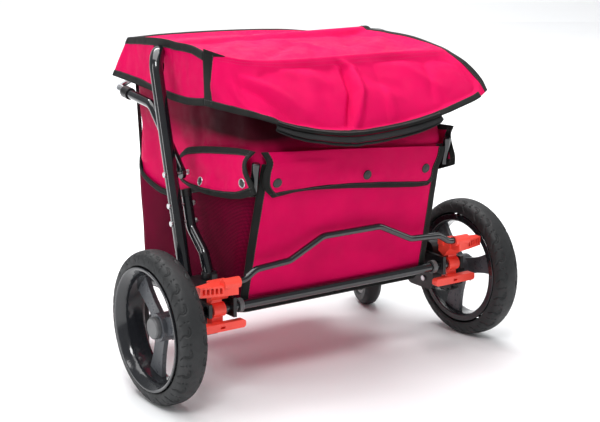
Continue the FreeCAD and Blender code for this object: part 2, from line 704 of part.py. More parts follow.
def side_pocket():
    """Mesh pocket whose mouth dips towards the back."""
    outline = [(-26, 150), (262, 150), (276, 350), (238, 304), (175, 296), (110, 318), (50, 350),
               (-60, 358)]
    return side_slab(outline, BAG_HALF + SKIN_GAP, POCKET_THICK)


def side_pocket_flap():
    outline = [(-64, 350), (-30, 330), (20, 322), (70, 325), (110, 338), (131, 360), (126, 378),
               (98, 386), (-62, 406)]
    return side_slab(outline, BAG_HALF + SKIN_GAP * 2 + POCKET_THICK, FLAP_THICK)


def front_snaps():
    """Snap caps on the front flap."""
    y_gap = SKIN_GAP * 2 + POCKET_THICK + FLAP_THICK
    caps = []
    lean = Vector(0, -1, -0.224).normalize()
    for x, z in ((-155.0, 356.0), (17.0, 348.0), (145.0, 346.0)):
        caps.append(Part.makeCylinder(SNAP_R, 3, Vector(x, bag_front_y(z) - y_gap, z) + lean * 0.2, lean))
    return Part.makeCompound(caps)


def lid_rings():
    """Crease ring and lower-edge ring of the lid, from the back right corner round to the back left."""
    crease = [(203, 316, 533), (214, 200, 553), (218, 100, 556), (222, 20, 544), (222, -25, 537),
              (190, -30, 537), (125, -30, 540), (0, -30, 541), (-125, -30, 545), (-185, -18, 548),
              (-219, 15, 553), (-217, 150, 562), (-203, 306, 546)]
    edge = [(212, 330, 476), (219, 200, 482), (228, 100, 543), (246, 20, 532), (263, -60, 504),
            (262, -104, 461), (140, -118, 444), (0, -124, 433), (-125, -116, 444), (-192, -84, 461),
            (-219, 14, 470), (-219, 150, 474), (-212, 330, 479)]
    return [Vector(*p) for p in crease], [Vector(*p) for p in edge]


def lid_shell():
    """Soft lid: crown, crease and hanging edge, notched for the hoop and open at the back."""
    crease, edge = lid_rings()
    crown = Vector(0, 150, 566)
    middle = Vector(0, 150, 500)
    outer = [crease, edge]
    inner = []
    for ring, drop in ((edge, 0.0), (crease, LID_WALL)):
        inner.append([Vector(p.x, p.y, p.z - drop) + Vector(middle.x - p.x, middle.y - p.y, 0).normalize()
                      * (LID_WALL + 1.2) for p in ring])
    solid = skin(outer + inner, crown, crown - Vector(0, 0, LID_WALL))
    arch = box(-300, 300, 112, 196, 400, 553)
    arch = arch.common(box(-300, -150, 0, 400, 400, 600).fuse(box(150, 300, 0, 400, 400, 600)))
    back_opening = box(-206, 206, 300, 400, 400, LID_BACK_EDGE_Z)
    return solid.cut(arch).cut(back_opening)


def main():
    os.makedirs("parts", exist_ok=True)

    both_sides("tyre", tyre())
    both_sides("rim", rim_barrel())
    both_sides("spokes", wheel_spokes())
    both_sides("brake_drum", brake_drum())
    both_sides("wheel_bearings", bearings())
    both_sides("hub_cap", hub_cap())
    both_sides("stub_axle", stub_axle())
    as_pairs("axle_nuts", axle_nut())

    put("main_hoop", hoop())
    both_sides("lower_leg", drilled(tube(leg_points(), LEG_BEND_R, LEG_R)))
    as_pairs("leg_plugs", leg_plug())
    both_sides("side_rail", side_rail())
    as_pairs("caster_sockets", caster_socket())
    put("rear_cross_tube", rear_cross_tube())
    put("front_cross_tube", front_cross_tube())
    both_sides("axle_housing", axle_housing())
    as_pairs("leg_clamps", leg_clamp())
    as_pairs("frame_bolts", frame_bolts())
    as_pairs("tube_bushes", tube_bush())
    as_pairs("housing_screws", housing_screw())
    as_pairs("corner_posts", corner_post())

    both_sides("brake_lever", brake_lever())
    both_sides("brake_pin", brake_pin())
    put("brake_bar", tube(brake_bar_points(), BRAKE_BAR_BEND_R, BRAKE_BAR_R))

    for side_name, side, turn in (("right", 1, RIGHT_CASTER_TURN), ("left", -1, LEFT_CASTER_TURN)):
        put(side_name + "_caster_fork", caster_place(caster_fork(), turn, side))
        put(side_name + "_caster_axle", caster_place(caster_axle(), turn, side))
        put(side_name + "_caster_tyre", caster_place(caster_tyre(), turn, side))
        put(side_name + "_caster_hub", caster_place(caster_hub(), turn, side))

    both_sides("handle_arm", handle_arm())
    as_pairs("handle_collars", handle_collar())
    put("handle_bar", tube(handle_bar_points(), 22, BAR_R, 1.2))
    put("handle_grip", handle_grip())

    put("bag_shell", bag_shell())
    put("bag_floor", bag_floor())
    put("front_pocket", front_pocket())
    put("front_pocket_flap", front_pocket_flap())
    put("front_flap_snaps", front_snaps())
    both_sides("side_pocket", side_pocket())
    both_sides("side_pocket_flap", side_pocket_flap())
    put("lid", lid_shell())


main()
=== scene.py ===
import json
import math

import bmesh
import bpy
import numpy as np
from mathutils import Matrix, Vector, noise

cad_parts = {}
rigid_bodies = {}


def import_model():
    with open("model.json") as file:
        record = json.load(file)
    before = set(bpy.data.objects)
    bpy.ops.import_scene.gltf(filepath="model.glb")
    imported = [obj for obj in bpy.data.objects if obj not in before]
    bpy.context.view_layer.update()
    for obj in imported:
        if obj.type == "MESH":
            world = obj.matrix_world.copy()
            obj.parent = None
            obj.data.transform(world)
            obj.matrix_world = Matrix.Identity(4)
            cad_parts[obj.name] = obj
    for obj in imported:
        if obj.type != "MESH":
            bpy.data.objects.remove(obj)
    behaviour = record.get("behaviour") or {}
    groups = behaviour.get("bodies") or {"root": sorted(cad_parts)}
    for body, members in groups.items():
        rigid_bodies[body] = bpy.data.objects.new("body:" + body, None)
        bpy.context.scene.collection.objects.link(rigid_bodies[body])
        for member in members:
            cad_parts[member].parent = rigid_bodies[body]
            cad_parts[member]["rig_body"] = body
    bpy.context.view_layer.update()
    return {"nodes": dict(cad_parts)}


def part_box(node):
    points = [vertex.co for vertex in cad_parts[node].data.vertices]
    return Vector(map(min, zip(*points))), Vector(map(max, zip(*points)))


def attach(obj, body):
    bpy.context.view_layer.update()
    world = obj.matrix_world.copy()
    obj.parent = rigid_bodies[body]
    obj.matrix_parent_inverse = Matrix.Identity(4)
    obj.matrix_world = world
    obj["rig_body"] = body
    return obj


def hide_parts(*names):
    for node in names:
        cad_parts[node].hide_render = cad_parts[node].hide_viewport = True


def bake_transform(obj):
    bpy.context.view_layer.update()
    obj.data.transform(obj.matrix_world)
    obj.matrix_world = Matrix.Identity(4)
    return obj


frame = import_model()
NODES = frame["nodes"]
scene = bpy.context.scene

# Everything below is laid out in millimetres with Y = 0 at the large wheels' axle.
# at() turns such a place into metres in the frame's own axes.
TYRE_LOW, TYRE_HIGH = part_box("right_tyre")
AXLE_Y = 1000 * (TYRE_LOW.y + TYRE_HIGH.y) / 2
WHEEL_R = 500 * (TYRE_HIGH.z - TYRE_LOW.z)
WHEEL_X = 500 * (TYRE_HIGH.x + TYRE_LOW.x)

# Bag, as in the CAD
BAG_HALF = 190.0
BAG_LOW_Z = 131.0
BAG_FOLD_Z = 390.0
BAG_RIM_Z = 495.0
BAG_FRONT_CORNER = 22.0
BAG_BACK_CORNER = 44.0

TAPE_WIDTH = 14.0
TAPE_THICK = 3.0
CLOTH_THICK = 1.1


def at(x, y, z):
    """Metres in the row frame from millimetres in the axle frame."""
    return np.array((x, y + AXLE_Y, z), float) / 1000


def to_metres(points):
    """The same for an array of points."""
    return (np.asarray(points, float) + (0, AXLE_Y, 0)) / 1000


# ---------------------------------------------------------------- materials
def new_material(name, color, roughness, metallic=0.0, **sockets):
    material = bpy.data.materials.new(name)
    material.use_nodes = True
    shader = material.node_tree.nodes["Principled BSDF"]
    shader.inputs["Base Color"].default_value = (*color, 1)
    shader.inputs["Roughness"].default_value = roughness
    shader.inputs["Metallic"].default_value = metallic
    for socket, value in sockets.items():
        shader.inputs[socket.replace("_", " ")].default_value = value
    return material


def node(material, kind, **settings):
    made = material.node_tree.nodes.new("ShaderNode" + kind)
    for key, value in settings.items():
        if hasattr(made, key):
            setattr(made, key, value)
        else:
            made.inputs[key.replace("_", " ")].default_value = value
    return made


def wire(material, source, target):
    material.node_tree.links.new(source, target)


def shader_of(material):
    return material.node_tree.nodes["Principled BSDF"]


def math_node(material, operation, first, second=None):
    """A Math node; each operand is a socket or a number."""
    made = node(material, "Math", operation=operation)
    for k, operand in enumerate((first, second)):
        if operand is None:
            continue
        if isinstance(operand, (int, float)):
            made.inputs[k].default_value = operand
        else:
            wire(material, operand, made.inputs[k])
    return made.outputs[0]


def noise_of(material, scale, detail=3.0, roughness=0.55, stretch=None):
    """Noise in the object's own metres."""
    place = node(material, "TexCoord").outputs["Object"]
    if stretch is not None:
        mapping = node(material, "Mapping")
        mapping.inputs["Scale"].default_value = stretch
        wire(material, place, mapping.inputs["Vector"])
        place = mapping.outputs[0]
    texture = node(material, "TexNoise", Scale=scale, Detail=detail, Roughness=roughness)
    wire(material, place, texture.inputs["Vector"])
    return texture.outputs["Fac"]


def blend_colors(material, factor, first, second):
    """A Mix node between two colours, each a socket or a tuple."""
    made = node(material, "Mix", data_type="RGBA")
    wire(material, factor, made.inputs["Factor"])
    for key, value in (("A", first), ("B", second)):
        socket = [s for s in made.inputs if s.name == key and s.type == "RGBA"][0]
        if isinstance(value, tuple):
            socket.default_value = (*value, 1)
        else:
            wire(material, value, socket)
    return [s for s in made.outputs if s.type == "RGBA"][0]


def ranged(material, value, low, high, new_low, new_high):
    made = node(material, "MapRange")
    wire(material, value, made.inputs["Value"])
    limits = {"From Min": low, "From Max": high, "To Min": new_low, "To Max": new_high}
    for key, number in limits.items():
        made.inputs[key].default_value = number
    return made.outputs["Result"]


def add_bump(material, height, distance, strength=1.0):
    """Adds a bump over any bump already on the shader."""
    shader = shader_of(material)
    bump = node(material, "Bump", Distance=distance, Strength=strength)
    wire(material, height, bump.inputs["Height"])
    for link in list(material.node_tree.links):
        if link.to_socket == shader.inputs["Normal"]:
            wire(material, link.from_socket, bump.inputs["Normal"])
            material.node_tree.links.remove(link)
    wire(material, bump.outputs[0], shader.inputs["Normal"])


def scaled(color, factor):
    return tuple(min(1.0, c * factor) for c in color)


def paint(material, source):
    wire(material, source, shader_of(material).inputs["Base Color"])


def tones(material, factor, color, dark, light):
    """A colour that runs from a darker to a lighter tone of itself."""
    return blend_colors(material, factor, scaled(color, dark), scaled(color, light))


def patches(material, scale, detail=3.0, roughness=0.55, stretch=None, start=0.3, stop=0.7):
    """Noise spread out to run from 0 to 1."""
    return ranged(material, noise_of(material, scale, detail, roughness, stretch), start, stop, 0.0, 1.0)


def roughen(material, source, start, stop, low, high):
    """Roughness that follows a noise, from low to high."""
    wire(material, ranged(material, source, start, stop, low, high), shader_of(material).inputs["Roughness"])


def thread_waves(material, thread):
    """Two sine waves along the weave's own directions, in metres."""
    weave = node(material, "UVMap", uv_map="weave")
    split = node(material, "SeparateXYZ")
    wire(material, weave.outputs[0], split.inputs[0])
    turns = 2 * math.pi / thread
    return [math_node(material, "SINE", math_node(material, "MULTIPLY", split.outputs[k], turns))
            for k in (0, 1)]


# Between these heights and depths, in metres, the painted shade under the lid comes on: the bag cloth's
# colour is darkened there towards SHADED_CLOTH of itself, standing in for the lid's shadow
SHADE_HEIGHTS = (0.385, 0.425)
SHADE_DEPTHS = (-0.10, 0.12)
SHADE_AT_BACK = 0.55
SHADED_CLOTH = 0.04


def painted_lid_shade(material):
    """Painted shade under the lid: how far the bag cloth's colour is darkened to stand in for the lid's
    shadow, from the pocket flaps up, and most at the front.
    """
    place = node(material, "SeparateXYZ")
    wire(material, node(material, "TexCoord").outputs["Object"], place.inputs[0])
    height = ranged(material, place.outputs["Z"], *SHADE_HEIGHTS, 0.0, 1.0)
    forward = ranged(material, place.outputs["Y"], *SHADE_DEPTHS, 1.0, SHADE_AT_BACK)
    return math_node(material, "MULTIPLY", height, forward)


# Weave and crinkle of the polyester, in metres
CLOTH_THREAD = 0.0011
CLOTH_RELIEF = 0.00018
CLOTH_CRINKLE = 0.0011


def woven_fabric(name, color, roughness=0.52, sheen=0.01, shade=None):
    """Plain-woven polyester: crossed threads, uneven dye and fine crinkles."""
    material = new_material(name, color, roughness, Sheen_Weight=sheen, Sheen_Roughness=0.4,
                            Specular_IOR_Level=0.07)
    shader_of(material).inputs["Sheen Tint"].default_value = (*scaled(color, 1.2), 1)
    along, across = thread_waves(material, CLOTH_THREAD)
    crossing = math_node(material, "MULTIPLY", along, across)
    dyed = tones(material, patches(material, 14.0, 4.0), color, 0.88, 1.08)
    shaded = ranged(material, crossing, -1.0, 1.0, 0.0, 0.35)
    woven = blend_colors(material, shaded, dyed, scaled(color, 0.62))
    # Painted shade: with shade given, the colour runs down to SHADED_CLOTH of itself where the lid's shadow
    # falls
    if shade:
        woven = blend_colors(material, shade(material), woven, scaled(color, SHADED_CLOTH))
    paint(material, woven)
    roughen(material, noise_of(material, 60.0), 0.3, 0.7, roughness - 0.08, roughness + 0.1)
    add_bump(material, noise_of(material, 55.0, 5.0, 0.6), CLOTH_CRINKLE, 0.55)
    add_bump(material, crossing, CLOTH_RELIEF, 0.8)
    return material


TAPE_RIB = 0.0016


def ribbed_tape(name, color):
    """Grosgrain binding: ribs across the tape over a finer weave."""
    material = new_material(name, color, 0.8, Sheen_Weight=0.05, Specular_IOR_Level=0.2)
    along, across = thread_waves(material, TAPE_RIB)
    ribs = math_node(material, "ADD", along, math_node(material, "MULTIPLY", across, 0.4))
    dyed = tones(material, patches(material, 40.0, 4.0, start=0.35), color, 0.75, 1.3)
    shaded = ranged(material, ribs, -1.4, 1.4, 0.4, 0.0)
    paint(material, blend_colors(material, shaded, dyed, scaled(color, 0.4)))
    add_bump(material, noise_of(material, 90.0, 3.0), 0.0006, 0.4)
    add_bump(material, ribs, 0.00025, 0.8)
    return material


MESH_PITCH = 0.0042


def mesh_fabric(name, thread_color, backing_color):
    """Open diagonal mesh over the cloth behind it."""
    material = new_material(name, thread_color, 0.75, Specular_IOR_Level=0.04)
    weave = node(material, "UVMap", uv_map="weave")
    split = node(material, "SeparateXYZ")
    wire(material, weave.outputs[0], split.inputs[0])
    total = math_node(material, "ADD", split.outputs[0], split.outputs[1])
    difference = math_node(material, "SUBTRACT", split.outputs[0], split.outputs[1])
    turns = 2 * math.pi / MESH_PITCH
    waves = [math_node(material, "SINE", math_node(material, "MULTIPLY", value, turns))
             for value in (total, difference)]
    cell = math_node(material, "MULTIPLY", waves[0], waves[1])
    hole = ranged(material, cell, 0.05, 0.55, 0.0, 1.0)
    behind = tones(material, patches(material, 12.0), backing_color, 0.7, 1.15)
    paint(material, blend_colors(material, hole, thread_color, behind))
    add_bump(material, hole, -0.0006, 0.7)
    return material


def moulded_plastic(name, color, roughness, grain=0.00008, **sockets):
    """Injection-moulded plastic: fine spark texture, faint flow marks and handling wear."""
    material = new_material(name, color, roughness, Specular_IOR_Level=0.5, **sockets)
    flow = patches(material, 22.0, 4.0, 0.6, (1, 1, 0.35))
    paint(material, tones(material, flow, color, 0.9, 1.1))
    wear = noise_of(material, 75.0, 5.0, 0.65)
    roughen(material, wear, 0.35, 0.75, roughness - 0.06, roughness + 0.12)
    add_bump(material, noise_of(material, 1500.0, 2.0), grain, 0.5)
    return material


def painted_tube(name, color, roughness):
    """Gloss powder coat: a little orange peel under a clear coat."""
    material = new_material(name, color, roughness, Coat_Weight=0.5, Coat_Roughness=0.06,
                            Specular_IOR_Level=0.6)
    paint(material, tones(material, patches(material, 30.0), color, 0.8, 1.3))
    rub = noise_of(material, 45.0, 5.0, 0.7)
    roughen(material, rub, 0.4, 0.75, roughness - 0.04, roughness + 0.12)
    add_bump(material, noise_of(material, 420.0, 2.0), 0.00012, 0.35)
    return material


def foam_tyre(name, color):
    """Moulded EVA: dull skin with tiny pores and scuffed shoulders."""
    material = new_material(name, color, 0.6, Specular_IOR_Level=0.4)
    scuff = patches(material, 26.0, 6.0, 0.65, start=0.35)
    paint(material, tones(material, scuff, color, 0.8, 1.25))
    roughen(material, noise_of(material, 90.0, 4.0), 0.3, 0.7, 0.46, 0.68)
    add_bump(material, noise_of(material, 700.0, 3.0, 0.6), 0.0002, 0.5)
    return material


def brushed_steel(name, color, roughness):
    material = new_material(name, color, roughness, 1.0)
    streaks = noise_of(material, 300.0, 3.0, 0.6, (0.08, 1, 1))
    roughen(material, streaks, 0.3, 0.7, roughness - 0.07, roughness + 0.12)
    paint(material, tones(material, noise_of(material, 60.0), color, 0.85, 1.1))
    add_bump(material, streaks, 0.00006, 0.4)
    return material


PINK = (0.80, 0.0012, 0.105)
CHARCOAL = (0.0085, 0.0088, 0.0082)
PINK_CLOTH = woven_fabric("pink_polyester", PINK)
# The bag's own cloth, its colour darkened by the painted shade under the lid
BAG_CLOTH_WITH_PAINTED_SHADE = woven_fabric("pink_polyester_painted_shade_under_lid", PINK, sheen=0.0, shade=painted_lid_shade)
LINING = woven_fabric("grey_lining", (0.06, 0.06, 0.065), roughness=0.75, sheen=0.1)
TAPE = ribbed_tape("charcoal_binding", CHARCOAL)
ZIP = ribbed_tape("black_zip_tape", (0.012, 0.012, 0.013))
THREAD = new_material("grey_thread", (0.12, 0.12, 0.12), 0.7)
PINK_THREAD = new_material("pink_thread", (0.62, 0.01, 0.11), 0.6)
MESH = mesh_fabric("maroon_mesh", (0.035, 0.0008, 0.008), (0.36, 0.001, 0.05))
TUBE = painted_tube("black_tube_paint", (0.006, 0.007, 0.009), 0.12)
RIM_PLASTIC = moulded_plastic("gloss_black_rim", (0.014, 0.015, 0.018), 0.16, 0.00003, Coat_Weight=0.3)
SPOKE_PLASTIC = moulded_plastic("satin_grey_spoke", (0.075, 0.08, 0.09), 0.3)
BLACK_PLASTIC = moulded_plastic("satin_black_plastic", (0.008, 0.008, 0.009), 0.36)
GREY_PLASTIC = moulded_plastic("grey_plastic", (0.11, 0.112, 0.115), 0.38)
RED_PLASTIC = moulded_plastic("red_orange_plastic", (1.0, 0.068, 0.045), 0.36, 0.00012)
TYRE_FOAM = foam_tyre("dark_foam_tyre", (0.016, 0.017, 0.018))
GRIP_RUBBER = foam_tyre("grip_rubber", (0.02, 0.02, 0.022))
STEEL = brushed_steel("zinc_steel", (0.62, 0.63, 0.65), 0.28)
CHROME = brushed_steel("chromed_steel", (0.78, 0.79, 0.81), 0.12)


# ---------------------------------------------------------------- curves and grids
def run_along(points):
    """The distance along a line of points, from 0."""
    steps = np.linalg.norm(np.diff(points, axis=0), axis=1)
    return np.concatenate([[0], np.cumsum(steps)])


def at_distance(where, run, points):
    return np.array([np.interp(where, run, points[:, k]) for k in range(3)])


def through(points, count):
    """Evenly spaced points on a smooth curve through the given ones."""
    points = np.asarray(points, float)
    ends = np.vstack([2 * points[0] - points[1], points, 2 * points[-1] - points[-2]])
    fine = []
    for i in range(len(points) - 1):
        a, b, c, d = ends[i:i + 4]
        for t in np.linspace(0, 1, 16, endpoint=False):
            fine.append(0.5 * (2 * b + (c - a) * t + (2 * a - 5 * b + 4 * c - d) * t ** 2
                               + (3 * b - a - 3 * c + d) * t ** 3))
    fine.append(points[-1])
    fine = np.array(fine)
    run = run_along(fine)
    wanted = np.linspace(0, run[-1], count)
    return np.stack([np.interp(wanted, run, fine[:, k]) for k in range(fine.shape[1])], axis=1)


def loft(rows, columns, lines):
    """A smooth grid [lines, columns, 3] through key rows of points."""
    keyed = np.array([through(row, columns) for row in rows])
    return np.stack([through(keyed[:, j], lines) for j in range(columns)], axis=1)


def normals_of(grid):
    along = np.gradient(grid, axis=1)
    down = np.gradient(grid, axis=0)
    normal = np.cross(down, along)
    length = np.linalg.norm(normal, axis=2, keepdims=True)
    return normal / np.maximum(length, 1e-9)


def raised(grid, height):
    """The grid moved along its normals."""
    return grid + normals_of(grid) * height[..., None]


def ripples(grid, size, seed, stretch=(1, 1, 1)):
    """Smooth noise from -1 to 1 over a grid in millimetres."""
    flat = grid.reshape(-1, 3) * np.array(stretch) / size + seed * 17.3
    values = [noise.noise(Vector(p)) for p in flat]
    return np.array(values).reshape(grid.shape[:2])


def creases(grid, size, seed, stretch=(1, 1, 1)):
    """Sharp-topped folds from 0 to 1 over a grid in millimetres."""
    return (1 - np.abs(ripples(grid, size, seed, stretch)) * 2.2).clip(0, 1) ** 2


def edge_fade(lines, columns, margin_lines, margin_columns):
    """0 at the rim of a grid, rising to 1 inside it."""
    down = np.minimum(np.arange(lines), np.arange(lines)[::-1]) / max(1, margin_lines)
    along = np.minimum(np.arange(columns), np.arange(columns)[::-1]) / max(1, margin_columns)
    fade = np.minimum(down.clip(0, 1)[:, None], along.clip(0, 1)[None, :])
    return fade * fade * (3 - 2 * fade)


class Pieces:
    """Collects the vertices, faces and weave places of one object."""

    def __init__(self):
        self.points = []
        self.faces = []
        self.weave = []
        self.count = 0

    def add(self, points, faces, weave):
        points = np.asarray(points, float).reshape(-1, 3)
        self.points.append(points)
        self.weave.append(np.asarray(weave, float).reshape(-1, 2))
        start = self.count
        self.faces += [tuple(start + i for i in face) for face in faces]
        self.count += len(points)

    def add_grid(self, grid, closed=False, caps=False, skip=None):
        """A grid of quads in millimetres; closed joins its last column to its first."""
        lines, columns = grid.shape[:2]
        across = np.linalg.norm(np.diff(grid, axis=1), axis=2).mean(axis=0)
        down = np.linalg.norm(np.diff(grid, axis=0), axis=2).mean(axis=1)
        u = np.concatenate([[0], np.cumsum(across)]) / 1000
        v = np.concatenate([[0], np.cumsum(down)]) / 1000
        weave = np.stack(np.broadcast_arrays(u[None, :], v[:, None]), axis=2)
        faces = []
        last = columns if closed else columns - 1
        for i in range(lines - 1):
            for j in range(last):
                if skip is not None and skip(i, j):
                    continue
                k = (j + 1) % columns
                faces.append((i * columns + j, (i + 1) * columns + j,
                              (i + 1) * columns + k, i * columns + k))
        if caps:
            faces.append(tuple(range(columns)))
            faces.append(tuple(range(lines * columns - 1, (lines - 1) * columns - 1, -1)))
        self.add(to_metres(grid), faces, weave)

    def build(self, name, body, slot, material):
        mesh = bpy.data.meshes.new(name)
        points = np.vstack(self.points)
        mesh.from_pydata(points.tolist(), [], self.faces)
        places = np.vstack(self.weave)
        layer = mesh.uv_layers.new(name="weave")
        corners = np.zeros(len(mesh.loops), int)
        mesh.loops.foreach_get("vertex_index", corners)
        layer.data.foreach_set("uv", places[corners].ravel())
        return place_mesh(name, mesh, body, material)


def place_mesh(name, mesh, body, material):
    """Puts a finished mesh in the scene, on its body."""
    if not mesh.materials:
        mesh.materials.append(material)
    mesh.polygons.foreach_set("use_smooth", [True] * len(mesh.polygons))
    mesh.update()
    piece = bpy.data.objects.new(name, mesh)
    scene.collection.objects.link(piece)
    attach(piece, body)
    return piece


def outline_oval(half_width, half_thick, count=12, power=3.0):
    """A flattened oval outline, as (across, out) pairs."""
    points = []
    for k in range(count):
        angle = 2 * math.pi * k / count
        c, s = math.cos(angle), math.sin(angle)
        points.append((half_width * math.copysign(abs(c) ** (2 / power), c),
                       half_thick * math.copysign(abs(s) ** (2 / power), s)))
    return points


def sweep(path, across, out, outline, widths=None):
    """A closed section carried along a path, as a grid of rings; widths narrows it along the way."""
    section = np.array(outline)
    if widths is None:
        widths = np.ones(len(path))
    return (path[:, None, :] + across[:, None, :] * section[None, :, 0, None] * widths[:, None, None]
            + out[:, None, :] * section[None, :, 1, None])


def unit(vectors):
    return vectors / np.maximum(np.linalg.norm(vectors, axis=-1, keepdims=True), 1e-9)


STITCH_LENGTH = 3.2
STITCH_GAP = 1.2
# Along a stitch: the place from 0 to 1, the share of its radius, and its height in millimetres
STITCH_PROFILE = ((0.0, 0.3, 0.0), (0.5, 1.0, 0.25), (1.0, 0.3, 0.0))


def stitch_row(pieces, path, out, lift, radius=0.35):
    """A row of small thread stitches that lies on a path."""
    run = run_along(path)
    count = int(run[-1] / (STITCH_LENGTH + STITCH_GAP))
    for k in range(count):
        begin = k * (STITCH_LENGTH + STITCH_GAP) + STITCH_GAP / 2
        first, last = [at_distance(where, run, path) for where in (begin, begin + STITCH_LENGTH)]
        up = unit(at_distance(begin, run, out))
        side = unit(np.cross(unit(last - first), up))
        rings = []
        for t, swell, height in STITCH_PROFILE:
            middle = first * (1 - t) + last * t + up * (lift + height)
            rings.append([middle + radius * swell * (side * math.cos(a) + up * math.sin(a))
                          for a in np.linspace(0, 2 * math.pi, 5, endpoint=False)])
        pieces.add_grid(np.array(rings), closed=True)


def edge_line(grid, edge, depth):
    """The outermost line of a grid's edge, the way in from it, and the grid's normal there."""
    normal = normals_of(grid)
    if edge in ("left", "right"):
        grid = grid.transpose(1, 0, 2)
        normal = normal.transpose(1, 0, 2)
    if edge in ("bottom", "right"):
        grid = grid[::-1]
        normal = normal[::-1]
    return grid[0], unit(grid[depth] - grid[0]), normal[0]


def bind_edge(tape, thread, grid, edge, width=TAPE_WIDTH, depth=3, thick=TAPE_THICK, trim=(0, 0)):
    """Folds a binding tape over one edge of a panel and stitches it down."""
    line, inward, normal = edge_line(grid, edge, depth)
    if trim != (0, 0):
        stop = len(line) - trim[1]
        line, inward, normal = line[trim[0]:stop], inward[trim[0]:stop], normal[trim[0]:stop]
    wobble = np.array([noise.noise(Vector(p) / 22) for p in line])
    path = line + inward * (width / 2 - 1.5 + 0.5 * wobble)[:, None]
    tape.add_grid(sweep(path, inward, normal, outline_oval(width / 2, thick / 2)), closed=True, caps=True)
    seam = line + inward * (width - 3.2)
    for side in (1, -1):
        stitch_row(thread, seam, normal * side, thick / 2 - 0.1)


def lay_tape(tape, thread, path, across, out, width=TAPE_WIDTH, thick=TAPE_THICK):
    """A flat tape sewn on along a path, stitched along both its edges."""
    tape.add_grid(sweep(path, across, out, outline_oval(width / 2, thick / 2)), closed=True, caps=True)
    for side in (1, -1):
        stitch_row(thread, path + across * side * (width / 2 - 1.7), out, thick / 2 - 0.1)


def crumpled(grid, held, slack, reach, frames=20, gravity=0.6):
    """The grid after it has settled as cloth that has a little more cloth than room."""
    lines, columns = grid.shape[:2]
    sheet = Pieces()
    sheet.add_grid(grid)
    mesh = bpy.data.meshes.new("settling")
    mesh.from_pydata(np.vstack(sheet.points).tolist(), [], sheet.faces)
    piece = bpy.data.objects.new("settling", mesh)
    scene.collection.objects.link(piece)
    group = piece.vertex_groups.new(name="held")
    group.add(np.flatnonzero(held.ravel()).tolist(), 1.0, "REPLACE")
    cloth = piece.modifiers.new("cloth", "CLOTH")
    settings = cloth.settings
    settings.quality = 6
    settings.mass = 0.15
    settings.air_damping = 3
    settings.tension_stiffness = 20
    settings.compression_stiffness = 20
    settings.shear_stiffness = 8
    settings.bending_stiffness = 0.4
    settings.vertex_group_mass = "held"
    settings.shrink_min = -slack
    settings.effector_weights.gravity = gravity
    cloth.point_cache.frame_start = 1
    cloth.point_cache.frame_end = frames
    for number in range(1, frames + 1):
        scene.frame_set(number)
    evaluated = piece.evaluated_get(bpy.context.evaluated_depsgraph_get())
    settled = np.zeros(lines * columns * 3)
    evaluated.data.vertices.foreach_get("co", settled)
    settled = settled.reshape(lines, columns, 3) * 1000 - (0, AXLE_Y, 0)
    scene.frame_set(1)
    bpy.data.objects.remove(piece)
    bpy.data.meshes.remove(mesh)
    moved = softened(settled - grid, 5)
    distance = np.linalg.norm(moved, axis=2, keepdims=True)
    return grid + moved * np.minimum(1, reach / np.maximum(distance, 1e-6))


def softened(field, passes):
    """A field of vectors averaged with its neighbours; its rim stays as it is."""
    for _ in range(passes):
        inner = field[1:-1, 1:-1] * 4
        inner = inner + 2 * (field[:-2, 1:-1] + field[2:, 1:-1] + field[1:-1, :-2] + field[1:-1, 2:])
        inner = inner + field[:-2, :-2] + field[:-2, 2:] + field[2:, :-2] + field[2:, 2:]
        field = field.copy()
        field[1:-1, 1:-1] = inner / 16
    return field


def rim_held(lines, columns, margin):
    held = np.zeros((lines, columns), bool)
    held[:margin] = held[-margin:] = True
    held[:, :margin] = held[:, -margin:] = True
    return held


def thicken(piece, thick=CLOTH_THICK):
    """Gives a cloth surface its thickness and rounds it off."""
    smooth = piece.modifiers.new("round", "SUBSURF")
    smooth.levels = 1
    smooth.render_levels = 1
    solid = piece.modifiers.new("thickness", "SOLIDIFY")
    solid.thickness = thick / 1000
    solid.offset = 0


def bound(name, body, grid, edges, width=TAPE_WIDTH):
    """Binding and stitching round the given edges of a panel, as two pieces."""
    tape, thread = Pieces(), Pieces()
    for edge in edges:
        bind_edge(tape, thread, grid, edge, width)
    return (tape.build(name + "_binding", body, "black_plastic", TAPE),
            thread.build(name + "_stitching", body, "black_plastic", THREAD))


def cloth_panel(name, body, grid, stands_for=None, slot="pink_fabric", material=PINK_CLOTH,
                thick=CLOTH_THICK, skip=None):
    """One panel of cloth from its grid, thickened; the CAD part it stands for, if named, is hidden."""
    pieces = Pieces()
    pieces.add_grid(grid, skip=skip)
    piece = pieces.build(name, body, slot, material)
    thicken(piece, thick)
    if stands_for:
        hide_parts(stands_for)
    return piece


# ---------------------------------------------------------------- rigid pieces from the CAD
# Angles in degrees: what counts as flat, what gets a crisp edge, and what gets a rounded one
FLAT_ANGLE = 1.2
SHARP_ANGLE = 35.0
BEVEL_ANGLE = 40.0


def finished(node_name, material, bevel=0.0):
    """Puts a copy of a CAD part in its place, with clean faces, rounded edges and a finish."""
    source = NODES[node_name]
    mesh = source.data.copy()
    mesh.name = node_name + "_finished"
    mesh.materials.clear()
    work = bmesh.new()
    work.from_mesh(mesh)
    bmesh.ops.remove_doubles(work, verts=work.verts, dist=2e-6)
    if bevel:
        bmesh.ops.dissolve_limit(work, angle_limit=math.radians(FLAT_ANGLE), verts=work.verts,
                                 edges=work.edges)
    for edge in work.edges:
        edge.smooth = edge.calc_face_angle(0.0) < math.radians(SHARP_ANGLE)
    work.to_mesh(mesh)
    work.free()
    body = source["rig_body"]
    piece = place_mesh(node_name + "_finished", mesh, body, material)
    if bevel:
        rounding = piece.modifiers.new("edges", "BEVEL")
        rounding.width = bevel / 1000
        rounding.segments = 2
        rounding.limit_method = "ANGLE"
        rounding.angle_limit = math.radians(BEVEL_ANGLE)
        rounding.use_clamp_overlap = True
        weighted = piece.modifiers.new("shading", "WEIGHTED_NORMAL")
        weighted.keep_sharp = True
    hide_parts(node_name)


